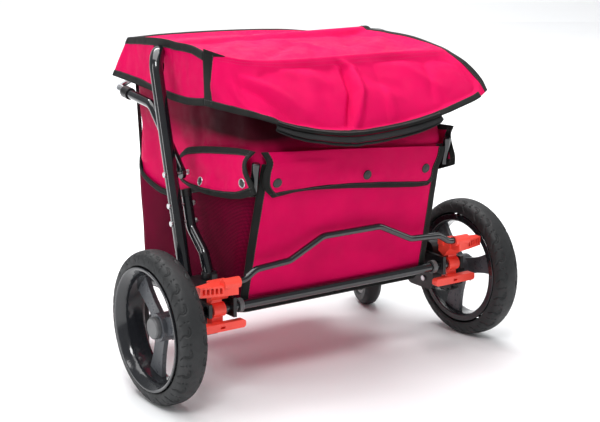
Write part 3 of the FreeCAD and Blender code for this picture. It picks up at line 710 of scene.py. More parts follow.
def make_frame():
    tubes = ["main_hoop", "rear_cross_tube", "front_cross_tube", "brake_bar", "corner_posts",
             "caster_sockets"]
    for side in ("left", "right"):
        tubes += [side + "_lower_leg", side + "_side_rail", side + "_handle_arm"]
    for name in tubes:
        finished(name, TUBE)
    for name in ("axle_nuts", "frame_bolts", "housing_screws"):
        finished(name, STEEL, 0.4)
    for name in ("leg_plugs", "leg_clamps"):
        finished(name, BLACK_PLASTIC, 0.5)
    finished("tube_bushes", GREY_PLASTIC, 0.6)
    finished("handle_collars", BLACK_PLASTIC, 0.8)
    finished("handle_bar", CHROME)
    finished("handle_grip", GRIP_RUBBER)
    for side in ("left", "right"):
        finished(side + "_axle_housing", BLACK_PLASTIC, 1.0)
        finished(side + "_stub_axle", STEEL)
        finished(side + "_wheel_bearings", STEEL)
        finished(side + "_brake_lever", RED_PLASTIC, 1.6)
        finished(side + "_brake_pin", STEEL, 0.4)
        finished(side + "_brake_drum", BLACK_PLASTIC, 0.5)
        finished(side + "_caster_fork", BLACK_PLASTIC, 0.8)
        finished(side + "_caster_axle", STEEL, 0.5)
        finished(side + "_caster_tyre", TYRE_FOAM, 1.0)
        finished(side + "_caster_hub", GREY_PLASTIC, 0.8)


# ---------------------------------------------------------------- large wheels
RIM_SEAT_R = 101.0
TYRE_SIDE_R = 105.0
TYRE_RISE = 20.0
TYRE_HALF = 23.5
BEAD_HALF = 20.5
TYRE_ROUNDNESS = 2.6
BEAD_GROOVE = 0.9
TREAD_PITCHES = 22
SIPE_DEPTH = 2.3
SIPE_WIDTH = 1.5


def tyre_outline(count):
    """Half-round tyre section from bead to bead, as (x, radius)."""
    points = []
    for k in range(49):
        t = -1 + 2.0 * k / 48
        rise = (1 - abs(t) ** TYRE_ROUNDNESS) ** (1 / TYRE_ROUNDNESS)
        points.append((t * TYRE_HALF, TYRE_SIDE_R + TYRE_RISE * rise, 0.0))
    seat = RIM_SEAT_R + 0.5
    return through([(-BEAD_HALF, seat, 0.0)] + points + [(BEAD_HALF, seat, 0.0)], count)[:, :2]


def tread_depth(around, across):
    """How deep the moulded tread cuts, from the place round and across the tyre in millimetres."""
    pitch = 2 * math.pi * WHEEL_R / TREAD_PITCHES
    depth = np.zeros_like(around)
    for side in (1, -1):
        u = np.mod(around + (0.5 * pitch if side < 0 else 0), pitch) - pitch / 2
        v = across * side
        marks = []
        hook = [(-11 + 9 * math.cos(a), 17.0 + 7.5 * math.sin(a)) for a in np.linspace(-2.6, 0.9, 9)]
        marks.append((hook + [(3.5, 30.0)], SIPE_WIDTH))
        small = [(-10 + 5 * math.cos(a), 17.5 + 4.2 * math.sin(a)) for a in np.linspace(-2.2, 0.8, 6)]
        marks.append((small, SIPE_WIDTH * 0.7))
        marks.append(([(9.0, 12.0), (10.5, 12.6)], 1.6))
        marks.append(([(9.5, 17.5), (11.0, 18.2)], 1.6))
        marks.append(([(12.5, 22.0), (14.5, 27.0)], 1.0))
        for path, width in marks:
            nearest = np.full_like(around, 99.0)
            for (u0, v0), (u1, v1) in zip(path, path[1:]):
                du, dv = u1 - u0, v1 - v0
                t = (((u - u0) * du + (v - v0) * dv) / (du * du + dv * dv)).clip(0, 1)
                nearest = np.minimum(nearest, np.hypot(u - u0 - t * du, v - v0 - t * dv))
            cut = (1 - nearest / width).clip(0, 1)
            depth = np.maximum(depth, cut * cut * (3 - 2 * cut))
    return depth * SIPE_DEPTH


def make_tyre(side_name, side):
    turns, section = 760, 74
    outline = tyre_outline(section)
    across = run_along(outline)
    across = across - across[-1] / 2
    angles = np.linspace(0, 2 * math.pi, turns, endpoint=False)
    around = angles[None, :] * WHEEL_R
    depth = tread_depth(np.broadcast_to(around, (section, turns)),
                        np.broadcast_to(across[:, None], (section, turns)))
    lean = np.gradient(outline, axis=0)
    normal = unit(np.stack([-lean[:, 1], lean[:, 0]], axis=1))
    x = outline[:, 0, None] - normal[:, 0, None] * depth
    r = outline[:, 1, None] - normal[:, 1, None] * depth
    groove = np.abs(np.abs(outline[:, 0]) - TYRE_HALF + BEAD_GROOVE) < BEAD_GROOVE
    r = r - np.where(groove, BEAD_GROOVE, 0.0)[:, None]
    grid = np.stack([side * (WHEEL_X + x), r * np.cos(angles), WHEEL_R + r * np.sin(angles)], axis=2)
    if side > 0:
        grid = grid[::-1]
    pieces = Pieces()
    pieces.add_grid(grid, closed=True)
    piece = pieces.build(side_name + "_tread", side_name + "_wheel", "eva_tyre", TYRE_FOAM)
    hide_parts(side_name + "_tyre")


def make_wheels():
    for side_name, side in (("left", -1), ("right", 1)):
        make_tyre(side_name, side)
        finished(side_name + "_rim", RIM_PLASTIC, 1.2)
        finished(side_name + "_spokes", SPOKE_PLASTIC, 1.6)
        finished(side_name + "_hub_cap", GREY_PLASTIC, 0.8)


# ---------------------------------------------------------------- bag
FRONT_LOW_Y = -30.0
FRONT_FOLD_Y = -88.0
FRONT_RIM_Y = -53.0
BACK_LOW_Y = 302.0
BACK_RIM_Y = 334.0
FLOOR_Z = 131.2
FLOOR_CENTRE = np.array((0, 136.0, 0))


def bag_front_y(z):
    z = np.asarray(z, float)
    low = FRONT_LOW_Y + (FRONT_FOLD_Y - FRONT_LOW_Y) * (z - BAG_LOW_Z) / (BAG_FOLD_Z - BAG_LOW_Z)
    high = FRONT_FOLD_Y + (FRONT_RIM_Y - FRONT_FOLD_Y) * (z - BAG_FOLD_Z) / (BAG_RIM_Z - BAG_FOLD_Z)
    return np.where(z <= BAG_FOLD_Z, low, high)


def bag_back_y(z):
    share = (np.asarray(z, float) - BAG_LOW_Z) / (BAG_RIM_Z - BAG_LOW_Z)
    return BACK_LOW_Y + (BACK_RIM_Y - BACK_LOW_Y) * share


def bag_point(q, z, side, lift=0.0):
    """A place on the bag's side: q runs 0 to 1 along half the front, to 2 round the front corner,
    to 3 along the side, to 4 round the back corner and to 5 along half the back."""
    front, back = float(bag_front_y(z)), float(bag_back_y(z))
    rf, rb = BAG_FRONT_CORNER, BAG_BACK_CORNER
    if q <= 1:
        x, y, nx, ny = q * (BAG_HALF - rf), front, 0.0, -1.0
    elif q <= 2:
        a = (q - 1) * math.pi / 2
        nx, ny = math.sin(a), -math.cos(a)
        x, y = BAG_HALF - rf + rf * nx, front + rf + rf * ny
    elif q <= 3:
        x, y, nx, ny = BAG_HALF, front + rf + (q - 2) * (back - front - rf - rb), 1.0, 0.0
    elif q <= 4:
        a = (q - 3) * math.pi / 2
        nx, ny = math.cos(a), math.sin(a)
        x, y = BAG_HALF - rb + rb * nx, back - rb + rb * ny
    else:
        x, y, nx, ny = (5 - q) * (BAG_HALF - rb), back, 0.0, 1.0
    return np.array((side * (x + lift * nx), y + lift * ny, z))


def side_q(y, z):
    """The q of a place on the bag's side at a depth y."""
    front, back = float(bag_front_y(z)), float(bag_back_y(z))
    along = (y - front - BAG_FRONT_CORNER) / (back - front - BAG_FRONT_CORNER - BAG_BACK_CORNER)
    if along < 0:
        reach = (front + BAG_FRONT_CORNER - y) / BAG_FRONT_CORNER
        return 2 - math.asin(min(1.0, reach)) / (math.pi / 2)
    if along > 1:
        reach = (y - back + BAG_BACK_CORNER) / BAG_BACK_CORNER
        return 3 + math.asin(min(1.0, reach)) / (math.pi / 2)
    return 2 + along


def bag_ring(z):
    """The bag's whole outline at one height, from the middle of the front round to the right."""
    qs = np.concatenate([np.linspace(0, 1, 26)[:-1], np.linspace(1, 2, 8)[:-1], np.linspace(2, 3, 44)[:-1],
                         np.linspace(3, 4, 12)[:-1], np.linspace(4, 5, 24)])
    right = [bag_point(q, z, 1) for q in qs]
    left = [bag_point(q, z, -1) for q in qs[::-1]]
    return np.array(right + left[1:-1])


def make_bag():
    """The bag's shell: walls that sag and crease above the pockets, rounded into a flat bottom."""
    heights = np.concatenate([[131.5, 133, 137, 143], np.linspace(152, BAG_RIM_Z, 46)])
    grid = np.array([bag_ring(z) for z in heights])
    grid[0] = grid[0] * (0.955, 1, 1)
    for k, shrink in enumerate((0.93, 0.965, 0.99)):
        grid[k] = FLOOR_CENTRE + (grid[k] - FLOOR_CENTRE) * (shrink, shrink, 1)
    outward = unit(np.cross(np.gradient(grid, axis=1), np.array((0, 0, 1.0))))
    z = grid[..., 2]
    front = grid[..., 1] < bag_front_y(z) + 12
    side_wall = (np.abs(grid[..., 0]) > BAG_HALF - 14) & ~front
    pocketed = (front & (z < 386)) | (side_wall & (z < 330))
    free = np.where(pocketed, 0.0, 1.0)
    free = free * ((z - 150) / 60).clip(0, 1) * ((BAG_RIM_Z - 6 - z) / 30).clip(0, 1)
    folds = (3.5 * ripples(grid, 85, 1, (1, 1, 0.45)) + 2.0 * ripples(grid, 34, 2, (1, 1, 0.7))
             - 4.0 * creases(grid, 120, 3, (1, 1, 0.8)))
    tucked = np.where(pocketed, -1.5, 0.0)
    grid = grid + outward * (free * folds + tucked)[..., None]
    flat = [grid[0] * (1, 1, 0) + (0, 0, FLOOR_Z)]
    floor_middle = FLOOR_CENTRE + (0, 0, FLOOR_Z)
    for shrink in (0.8, 0.55, 0.3, 0.05):
        flat.append(floor_middle + (flat[0] - floor_middle) * shrink)
    whole = np.array(flat[::-1] + list(grid))
    pieces = Pieces()
    pieces.add_grid(whole[:, ::-1], closed=True)
    # Its cloth carries the painted shade under the lid
    shell = pieces.build("bag_cloth", "chassis", "pink_fabric", BAG_CLOTH_WITH_PAINTED_SHADE)
    shell.data.materials.append(LINING)
    solid = shell.modifiers.new("lining", "SOLIDIFY")
    solid.thickness = 0.002
    solid.offset = -1
    solid.material_offset = 1
    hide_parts("bag_shell")
    hem(grid)
    finished("bag_floor", LINING, 0.8)


def hem(grid):
    """Binding round the bag's rim, round its bottom edge and up its two back corners."""
    tape, thread = Pieces(), Pieces()
    rim = np.vstack([grid[-1], grid[-1][:1]])
    below = np.vstack([grid[-3], grid[-3][:1]])
    down = unit(below - rim)
    out = unit(np.cross(np.gradient(rim, axis=0), np.array((0, 0, 1.0))))
    lay_tape(tape, thread, rim + down * 6 - out * 0.6, down, out, 14.0, 4.2)
    base = bag_ring(134.0)
    base = np.vstack([base, base[:1]])
    out = unit(np.cross(np.gradient(base, axis=0), np.array((0, 0, 1.0))))
    up = np.broadcast_to(np.array((0, 0, 1.0)), base.shape)
    lay_tape(tape, thread, base + out * -1.2 + up * 2.0, up, out, 9.0, 3.4)
    corner_q = 3.5
    heights = np.linspace(150, 488, 60)
    for side in (1, -1):
        path = np.array([bag_point(corner_q, z, side, 0.8) for z in heights])
        beside = np.array([bag_point(corner_q + 0.1, z, side, 0.8) for z in heights])
        across = unit(beside - path)
        out = unit(np.cross(np.gradient(path, axis=0), across)) * side
        lay_tape(tape, thread, path, across, out, 13.0)
    tape.build("bag_binding", "chassis", "black_plastic", TAPE)
    thread.build("bag_stitching", "chassis", "black_plastic", THREAD)


# ---------------------------------------------------------------- front pocket and its flap
def front_point(x, z, lift):
    return np.array((x, float(bag_front_y(z)) - lift, z))


def make_front_pocket():
    lines, columns = 70, 100
    ends = ((388, -180, 182), (330, -184, 183), (260, -187, 185), (200, -189, 187), (143, -190, 188))
    rows = []
    for z, left, right in ends:
        rows.append([front_point(left + (right - left) * t, z - 6 * t * (z - 143) / 245, 3.0)
                     for t in np.linspace(0, 1, 9)])
    grid = loft(rows, columns, lines)
    fade = edge_fade(lines, columns, 9, 9)
    puff = 2.2 * fade + fade * (1.2 * ripples(grid, 90, 5) - 1.6 * creases(grid, 150, 6, (1, 1, 0.6)))
    grid = raised(grid, puff)
    grid = crumpled(grid, rim_held(lines, columns, 3), 0.006, 3.0)
    grid[..., 1] = np.minimum(grid[..., 1], bag_front_y(grid[..., 2]) - 1.6)
    cloth_panel("front_pocket_cloth", "chassis", grid, "front_pocket")
    tape, thread = Pieces(), Pieces()
    for edge in ("left", "right"):
        bind_edge(tape, thread, grid, edge, 15.0)
    bind_edge(tape, thread, grid, "bottom", 9.0)
    tape.build("front_pocket_binding", "chassis", "black_plastic", TAPE)
    thread.build("front_pocket_stitching", "chassis", "black_plastic", THREAD)


def make_front_flap():
    lines, columns = 34, 110
    rows = [
        [(-181, 407), (-110, 402), (-30, 397), (60, 390), (130, 384), (184, 378)],
        [(-177, 392), (-110, 386), (-30, 380), (60, 372), (130, 366), (180, 362)],
        [(-182, 374), (-108, 366), (-30, 360), (60, 352), (130, 345), (172, 342)],
        [(-179, 353), (-106, 350), (-30, 346), (60, 336), (130, 328), (171, 326)],
        [(-158, 332), (-104, 336), (-30, 331), (60, 321), (130, 313), (160, 312)]]
    lifts = (7.5, 12.0, 14.0, 12.0, 9.5)
    grid = loft([[front_point(x, z, lift) for x, z in row] for row, lift in zip(rows, lifts)], columns, lines)
    fade = edge_fade(lines, columns, 6, 8)
    grid = raised(grid, fade * (1.5 * ripples(grid, 60, 7) - 1.5 * creases(grid, 90, 8, (0.6, 1, 1))))
    grid = crumpled(grid, rim_held(lines, columns, 2), 0.012, 4.0)
    piece = cloth_panel("front_flap_cloth", "front_flap", grid, "front_pocket_flap")
    binding, stitches = bound("front_flap", "front_flap", grid, ("left", "bottom", "right"))
    for cloth in (piece, binding, stitches):
        cloth.parent = None
        del cloth["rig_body"]
        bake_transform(cloth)
    snaps = Pieces()
    for x, z in ((-155.0, 356.0), (22.0, 347.5), (147.0, 345.0)):
        add_snap(snaps, grid, x, z)
    buttons = snaps.build("front_flap_snap_caps", "front_flap", "black_plastic", BLACK_PLASTIC)
    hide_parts("front_flap_snaps")


SNAP_R = 8.0
# The cap's profile: share of its radius, and height in millimetres
SNAP_PROFILE = ((1.0, -0.5), (1.02, 0.6), (0.97, 1.6), (0.88, 2.0), (0.8, 1.7), (0.7, 1.7), (0.45, 2.2),
                (0.05, 2.4))


def facing(grid, axis, place, z):
    """The grid point nearest to a place on an axis and z, and the ways out, aside and up from it."""
    flat = grid.reshape(-1, 3)
    nearest = np.argmin((flat[:, axis] - place) ** 2 + (flat[:, 2] - z) ** 2)
    out = normals_of(grid).reshape(-1, 3)[nearest]
    side = unit(np.cross(out, np.array((0, 0, 1.0))))
    up = np.cross(side, out)
    return flat[nearest], out, side, up


def add_snap(pieces, grid, x, z):
    """A domed snap cap with a rolled rim, on the grid point nearest to a place."""
    centre, out, side, up = facing(grid, 0, x, z)
    rings = []
    for r, h in SNAP_PROFILE:
        rings.append([centre + out * h + SNAP_R * r * (side * math.cos(a) + up * math.sin(a))
                      for a in np.linspace(0, 2 * math.pi, 28, endpoint=False)])
    pieces.add_grid(np.array(rings), closed=True, caps=True)


# ---------------------------------------------------------------- side pockets
# The mesh pocket's top edge, as (y, z)
MESH_TOP = [(-86, 345), (-40, 338), (20, 332), (70, 326), (120, 312), (160, 301), (205, 297), (240, 302),
            (275, 313), (305, 336), (318, 352)]
MESH_LOW_Z = 145.0
MESH_THICK = 0.9
ALL_EDGES = ("top", "left", "right", "bottom")


def make_side_pockets():
    lines, columns = 46, 90
    for name, side in (("left", -1), ("right", 1)):
        top = through([(y, z, 0) for y, z in MESH_TOP], columns)
        rows = []
        for t in np.linspace(0, 1, lines):
            row = []
            for j in range(columns):
                y_top, z_top = top[j, 0], top[j, 1]
                z = z_top + (MESH_LOW_Z - z_top) * t
                share = (y_top - bag_front_y(z_top)) / (bag_back_y(z_top) - bag_front_y(z_top))
                y = float(bag_front_y(z) + share * (bag_back_y(z) - bag_front_y(z)))
                row.append(bag_point(side_q(y, z), z, side, 3.0))
            rows.append(row)
        grid = np.array(rows)
        fade = edge_fade(lines, columns, 6, 6)
        outward = normals_of(grid)
        if outward[lines // 2, columns // 2, 0] * side < 0:
            grid = grid[:, ::-1]
        grid = raised(grid, fade * (1.5 + 1.2 * ripples(grid, 60, 11 + side)))
        cloth_panel(name + "_mesh_pocket", "chassis", grid, name + "_side_pocket",
                    "mesh_fabric", MESH, MESH_THICK)
        bound(name + "_mesh_pocket", "chassis", grid, ALL_EDGES, 11.0)
        make_side_flap(name, side)


def make_side_flap(name, side):
    lines, columns = 34, 76
    rows = [
        [(131, 370), (109, 384), (66, 393), (5, 402), (-57, 409), (-98, 411)],
        [(137, 356), (106, 368), (60, 376), (0, 384), (-50, 391), (-84, 395)],
        [(137, 344), (103, 350), (54, 356), (-4, 362), (-52, 370), (-86, 379)],
        [(132, 334), (98, 332), (46, 334), (-6, 338), (-56, 346), (-98, 361)],
        [(126, 325), (95, 320), (44, 319), (-6, 323), (-56, 331), (-102, 347)]]
    lifts = (8.5, 15.0, 16.0, 13.0, 10.0)
    keyed = [[(side * (BAG_HALF + lift), y, z) for y, z in row] for row, lift in zip(rows, lifts)]
    grid = loft(keyed, columns, lines)
    if side > 0:
        grid = grid[:, ::-1]
    fade = edge_fade(lines, columns, 6, 6)
    grid = raised(grid, fade * (1.2 * ripples(grid, 50, 21) - 1.8 * creases(grid, 70, 22 + side)))
    grid = crumpled(grid, rim_held(lines, columns, 2), 0.012, 4.0)
    cloth_panel(name + "_side_flap_cloth", "chassis", grid,
                name + "_side_pocket_flap")
    bound(name + "_side_flap", "chassis", grid, ALL_EDGES)
    rings, discs = Pieces(), Pieces()
    for y, z in ((63.5, 336.0), (-70.0, 357.0)):
        add_eyelet(rings, discs, grid, y, z)
    rings.build(name + "_side_flap_eyelets", "chassis", "steel", STEEL)
    discs.build(name + "_side_flap_sockets", "chassis", "black_plastic", BLACK_PLASTIC)


EYELET_R = 7.0
EYELET_WIRE_R = 0.8
# The dark socket inside the ring: radius and height in millimetres
SOCKET_PROFILE = ((6.6, 0.4), (6.3, 1.2), (4.0, 1.7), (0.3, 1.9))


def add_eyelet(rings, discs, grid, y, z):
    """A press-stud socket: a bright rolled ring round a black centre."""
    centre, out, side, up = facing(grid, 1, y, z)
    turn = np.linspace(0, 2 * math.pi, 28, endpoint=False)
    circle = [side * math.cos(a) + up * math.sin(a) for a in turn]
    torus = []
    for b in np.linspace(0, 2 * math.pi, 9):
        torus.append([centre + c * (EYELET_R + EYELET_WIRE_R * math.cos(b))
                      + out * (0.9 + EYELET_WIRE_R * math.sin(b)) for c in circle])
    rings.add_grid(np.array(torus), closed=True)
    dome = [[centre + c * r + out * h for c in circle] for r, h in SOCKET_PROFILE]
    discs.add_grid(np.array(dome), closed=True, caps=True)


# ---------------------------------------------------------------- lid
# The lid's edges and its ridge over the hoop, as the places they run through
LEFT_TOP = [(-219, 18, 553), (-219, 60, 560), (-218, 110, 560), (-217, 155, 561), (-212, 230, 556),
            (-203, 301, 548)]
CREASE = [(-219, 18, 553), (-200, -8, 549), (-170, -24, 543), (-125, -31, 539), (-60, -30, 537),
          (0, -29, 536), (80, -28, 535), (160, -27, 533), (225, -24, 530), (253, -14, 527)]
RIGHT_TOP = [(253, -14, 527), (250, 4, 532), (237, 57, 544), (222, 100, 549), (212, 145, 551),
             (207, 220, 544), (202, 312, 532)]
BACK_TOP = [(-203, 301, 548), (-120, 318, 548), (0, 324, 546), (120, 320, 541), (202, 312, 532)]
RIDGE = [(-217, 155, 561), (-120, 160, 558), (0, 163, 556), (120, 160, 555), (212, 145, 551)]
LOWER_EDGE = [(-219, 16, 471), (-207, -45, 467), (-182, -94, 460), (-125, -119, 440), (-37, -125, 425),
              (50, -126, 426), (125, -125, 434), (200, -119, 449), (240, -112, 459)]
WING_EDGE = [(253, -14, 527), (262, -52, 510), (269, -82, 487), (272, -98, 466)]


def coons(top, bottom, left, right, columns, lines):
    """A smooth patch between four edges; left and right run from top to bottom."""
    t, b = through(top, columns), through(bottom, columns)
    l, r = through(left, lines), through(right, lines)
    u = np.linspace(0, 1, columns)[None, :, None]
    v = np.linspace(0, 1, lines)[:, None, None]
    ruled = (1 - v) * t[None] + v * b[None] + (1 - u) * l[:, None] + u * r[:, None]
    corners = ((1 - u) * (1 - v) * t[0] + u * (1 - v) * t[-1] + (1 - u) * v * b[0] + u * v * b[-1])
    return ruled - corners


# The hoop's top bar, and how far from its axis the cloth lies
HOOP_BAR_Y = 163.0
HOOP_BAR_Z = 541.0
HOOP_CLEARANCE = 14.5


def over_hoop(grid):
    """Lifts the cloth that would sink into the hoop's top bar."""
    near = (HOOP_CLEARANCE ** 2 - (grid[..., 1] - HOOP_BAR_Y) ** 2).clip(0)
    lowest = np.where(near > 0, HOOP_BAR_Z + np.sqrt(near), -1e9)
    lifted = grid.copy()
    lifted[..., 2] = np.maximum(grid[..., 2], lowest)
    return lifted


def lid_top_grid():
    columns, lines = 120, 86
    grid = coons(BACK_TOP, CREASE, LEFT_TOP[::-1], RIGHT_TOP[::-1], columns, lines)
    x, y = grid[..., 0], grid[..., 1]
    ridge = through(RIDGE, 60)
    height = np.interp(x, ridge[:, 0], ridge[:, 2])
    near = np.exp(-((y - 158) / 70) ** 2)
    fade = edge_fade(lines, columns, 20, 16)
    grid[..., 2] += fade * near * (height - grid[..., 2])
    folds = (2.0 * ripples(grid, 95, 31) - 2.0 * creases(grid, 130, 32, (0.5, 1, 1))
             + 0.8 * ripples(grid, 30, 33))
    for begin, end, width, height in LID_TOP_FOLDS:
        folds = folds + fold(x, y, begin, end, width, height)
    grid = raised(grid, edge_fade(lines, columns, 8, 8) * folds)
    held = rim_held(lines, columns, 3)
    grid = crumpled(grid, held, 0.015, 9.0, frames=24, gravity=0.4)
    return over_hoop(grid)


def pleat(x, centre_x, width, depth):
    """The profile of a fold that tucks in on its left and rolls over on its right."""
    t = (x - centre_x) / width
    return depth * (np.exp(-((t - 0.55) / 0.5) ** 2) - 1.1 * np.exp(-((t + 0.35) / 0.32) ** 2))


def fold(x, y, begin, end, width, height):
    """A straight soft fold between two places, fading out at both ends."""
    dx, dy = end[0] - begin[0], end[1] - begin[1]
    length = math.hypot(dx, dy)
    along = ((x - begin[0]) * dx + (y - begin[1]) * dy) / length ** 2
    away = ((x - begin[0]) * dy - (y - begin[1]) * dx) / length
    fade = np.sin(math.pi * along.clip(0, 1)) ** 0.7
    return height * fade * np.exp(-(away / width) ** 2)


# Folds in the lid's front panel: begin and end as (x, distance down from the crease), width, height
LID_FRONT_FOLDS = [((-205, 20), (-95, 120), 13, 6), ((-150, 5), (-10, 60), 16, 5),
                   ((-190, 60), (-120, 140), 8, -5), ((-60, 20), (-90, 130), 16, 4),
                   ((20, 30), (110, 90), 14, -5), ((40, 10), (150, 40), 14, 4),
                   ((110, 20), (190, 110), 12, 5), ((180, 20), (150, 120), 10, -4),
                   ((70, 60), (60, 140), 10, 4)]
# The same in its top panel, as (x, y)
LID_TOP_FOLDS = [((-200, 20), (-60, 150), 14, 5), ((-150, -20), (40, 120), 12, -5),
                 ((30, 10), (-20, 150), 10, 5), ((60, 0), (150, 150), 14, -5), ((120, 20), (215, 120), 12, 4),
                 ((-120, 170), (60, 300), 16, -4), ((80, 180), (190, 290), 14, 5),
                 ((-30, -20), (20, 60), 9, -4)]


def lid_front_grid():
    columns, lines = 150, 44
    left = [(-219, 18, 553), (-219, 17, 512), (-219, 16, 471)]
    right = WING_EDGE
    grid = coons(CREASE, LOWER_EDGE[:-1] + [(240, -115, 459), (272, -98, 466)], left, right, columns, lines)
    u = np.linspace(0, 1, columns)[None, :]
    v = np.linspace(0, 1, lines)[:, None]
    bulge = 9 * np.sin(math.pi * v) * np.sin(math.pi * u) ** 0.5
    x, drop = grid[..., 0], 150 * np.broadcast_to(v, grid.shape[:2])
    pleat_x = np.interp(v, [0, 0.15, 0.5, 1.0], [0, 16, 6, -34])
    tuck = pleat(x, pleat_x, 17, 10) * np.sin(math.pi * np.clip(v * 1.05, 0, 1)) ** 0.5
    soft = (2.5 * ripples(grid, 80, 41, (1, 1, 0.7)) - 2.5 * creases(grid, 110, 42, (1, 0.5, 0.9))
            + 0.8 * ripples(grid, 26, 43))
    for begin, end, width, height in LID_FRONT_FOLDS:
        soft = soft + fold(x, drop, begin, end, width, height)
    fade = edge_fade(lines, columns, 7, 8)
    grid = raised(grid, fade * (bulge + tuck + soft))
    held = rim_held(lines, columns, 3)
    return crumpled(grid, held, 0.02, 9.0, frames=24, gravity=0.5)


# The slot in the lid's side flaps that the hoop's leg passes through
SLOT_FRONT_Y = 147.0
SLOT_BACK_Y = 184.0
SLOT_TOP_Z = 552.0


def lid_flap_grid(side):
    """The side of the lid, hanging inside the hoop's leg."""
    if side < 0:
        top = LEFT_TOP
        bottom = [(-219, 16, 471), (-220, 60, 466), (-220, 115, 466), (-219, 175, 471), (-218, 250, 477),
                  (-216, 336, 481)]
        columns = 110
    else:
        top = [(237, 57, 544), (222, 100, 549), (213, 150, 549), (207, 220, 544), (202, 312, 532)]
        bottom = [(231, 84, 508), (222, 115, 492), (219, 160, 484), (219, 230, 480), (212, 330, 478)]
        columns = 94
    rear_middle = ((top[-1][0] + bottom[-1][0]) / 2 + 2 * side, (top[-1][1] + bottom[-1][1]) / 2, 512)
    rear = [top[-1], rear_middle, bottom[-1]]
    fore = [top[0], tuple((a + b) / 2 for a, b in zip(top[0], bottom[0])), bottom[0]]
    grid = coons(top, bottom, fore, rear, columns, 30)
    if side < 0:
        grid = grid[:, ::-1]
    folds = 2.4 * ripples(grid, 46, 51 + side, (1, 1, 0.5)) - 3.0 * creases(grid, 60, 52, (1, 1, 0.35))
    grid = raised(grid, edge_fade(30, columns, 5, 6) * folds)
    return crumpled(grid, rim_held(30, columns, 2), 0.012, 4.0)


def make_lid():
    """The lid's four panels, its bindings and seams, and the zip along its front edge."""
    top = lid_top_grid()
    front = lid_front_grid()
    cloth_panel("lid_top_cloth", "lid", top, "lid")
    cloth_panel("lid_front_cloth", "lid", front)
    tape, thread, seams = Pieces(), Pieces(), Pieces()
    bind_edge(tape, thread, top, "top", 12.0)
    bind_edge(tape, thread, top, "left", 9.0)
    bind_edge(tape, thread, top, "right", 13.0)
    bind_edge(tape, thread, front, "bottom", 12.0, trim=(0, 8))
    bind_edge(tape, thread, front, "right", 13.0)
    bind_edge(tape, thread, front, "left", 20.0)
    make_crease_seam(seams, front)
    corner = through(front[0, :12], 16)
    down = unit(front[3, :12] - front[0, :12])
    out = unit(normals_of(front)[1, :12] + normals_of(top)[-2, :12])
    tape.add_grid(sweep(corner, through(down, 16), through(out, 16), outline_oval(7.0, 1.4),
                        np.linspace(1.0, 0.12, 16)), closed=True, caps=True)
    for name, side in (("left", -1), ("right", 1)):
        grid = lid_flap_grid(side)
        middle_y = (grid[:-1, :-1, 1] + grid[1:, 1:, 1]) / 2
        middle_z = (grid[:-1, :-1, 2] + grid[1:, 1:, 2]) / 2
        slot = (middle_y > SLOT_FRONT_Y) & (middle_y < SLOT_BACK_Y) & (middle_z < SLOT_TOP_Z)
        cloth_panel("lid_" + name + "_flap_cloth", "lid", grid,
                    skip=lambda i, j: slot[i, j])
        hem_y = grid[-1, :, 1]
        for beside_slot in (hem_y < SLOT_FRONT_Y, hem_y > SLOT_BACK_Y):
            wanted = np.flatnonzero(beside_slot)
            part = grid[:, wanted.min():wanted.max() + 1]
            bind_edge(tape, thread, part, "bottom", 13.0)
        bind_edge(tape, thread, grid, "top", 14.0)
    tape.build("lid_binding", "lid", "black_plastic", TAPE)
    thread.build("lid_stitching", "lid", "black_plastic", THREAD)
    seams.build("lid_seam_stitching", "lid", "pink_fabric", PINK_THREAD)
    make_zip(front)


def make_crease_seam(seams, front):
    """Two rows of stitching beside the seam between the lid's top and its front."""
    normal = normals_of(front)
    for line in (2, 4):
        stitch_row(seams, front[line, 8:-6], normal[line, 8:-6], 0.5, radius=0.4)


HINGE_STRIP_LOW_Z = 484.0


def make_hinge_strip():
    """The strip of cloth that holds the lid's back edge to the bag, below the line that the lid turns on."""
    columns, lines = 60, 10
    top = through(BACK_TOP, columns) + (0, 2.0, -3.0)
    low_y = float(bag_back_y(HINGE_STRIP_LOW_Z)) + 3.0
    bottom = np.stack([top[:, 0] * 0.9, np.full(columns, low_y), np.full(columns, HINGE_STRIP_LOW_Z)], axis=1)
    down = np.linspace(0, 1, lines)[:, None, None]
    grid = ((1 - down) * top + down * bottom)[:, ::-1]
    cloth_panel("hinge_strip_cloth", "chassis", grid)


ZIP_TEETH_PITCH = 2.6
# A tooth's half size along and across the zip, and its height with the share of that size
TOOTH_HALF = (0.8, 2.0)
TOOTH_PROFILE = ((0.0, 1.0), (0.9, 0.9), (1.2, 0.5))
# The columns of the front panel between which the zip runs
ZIP_FIRST = 36
ZIP_LAST = 118


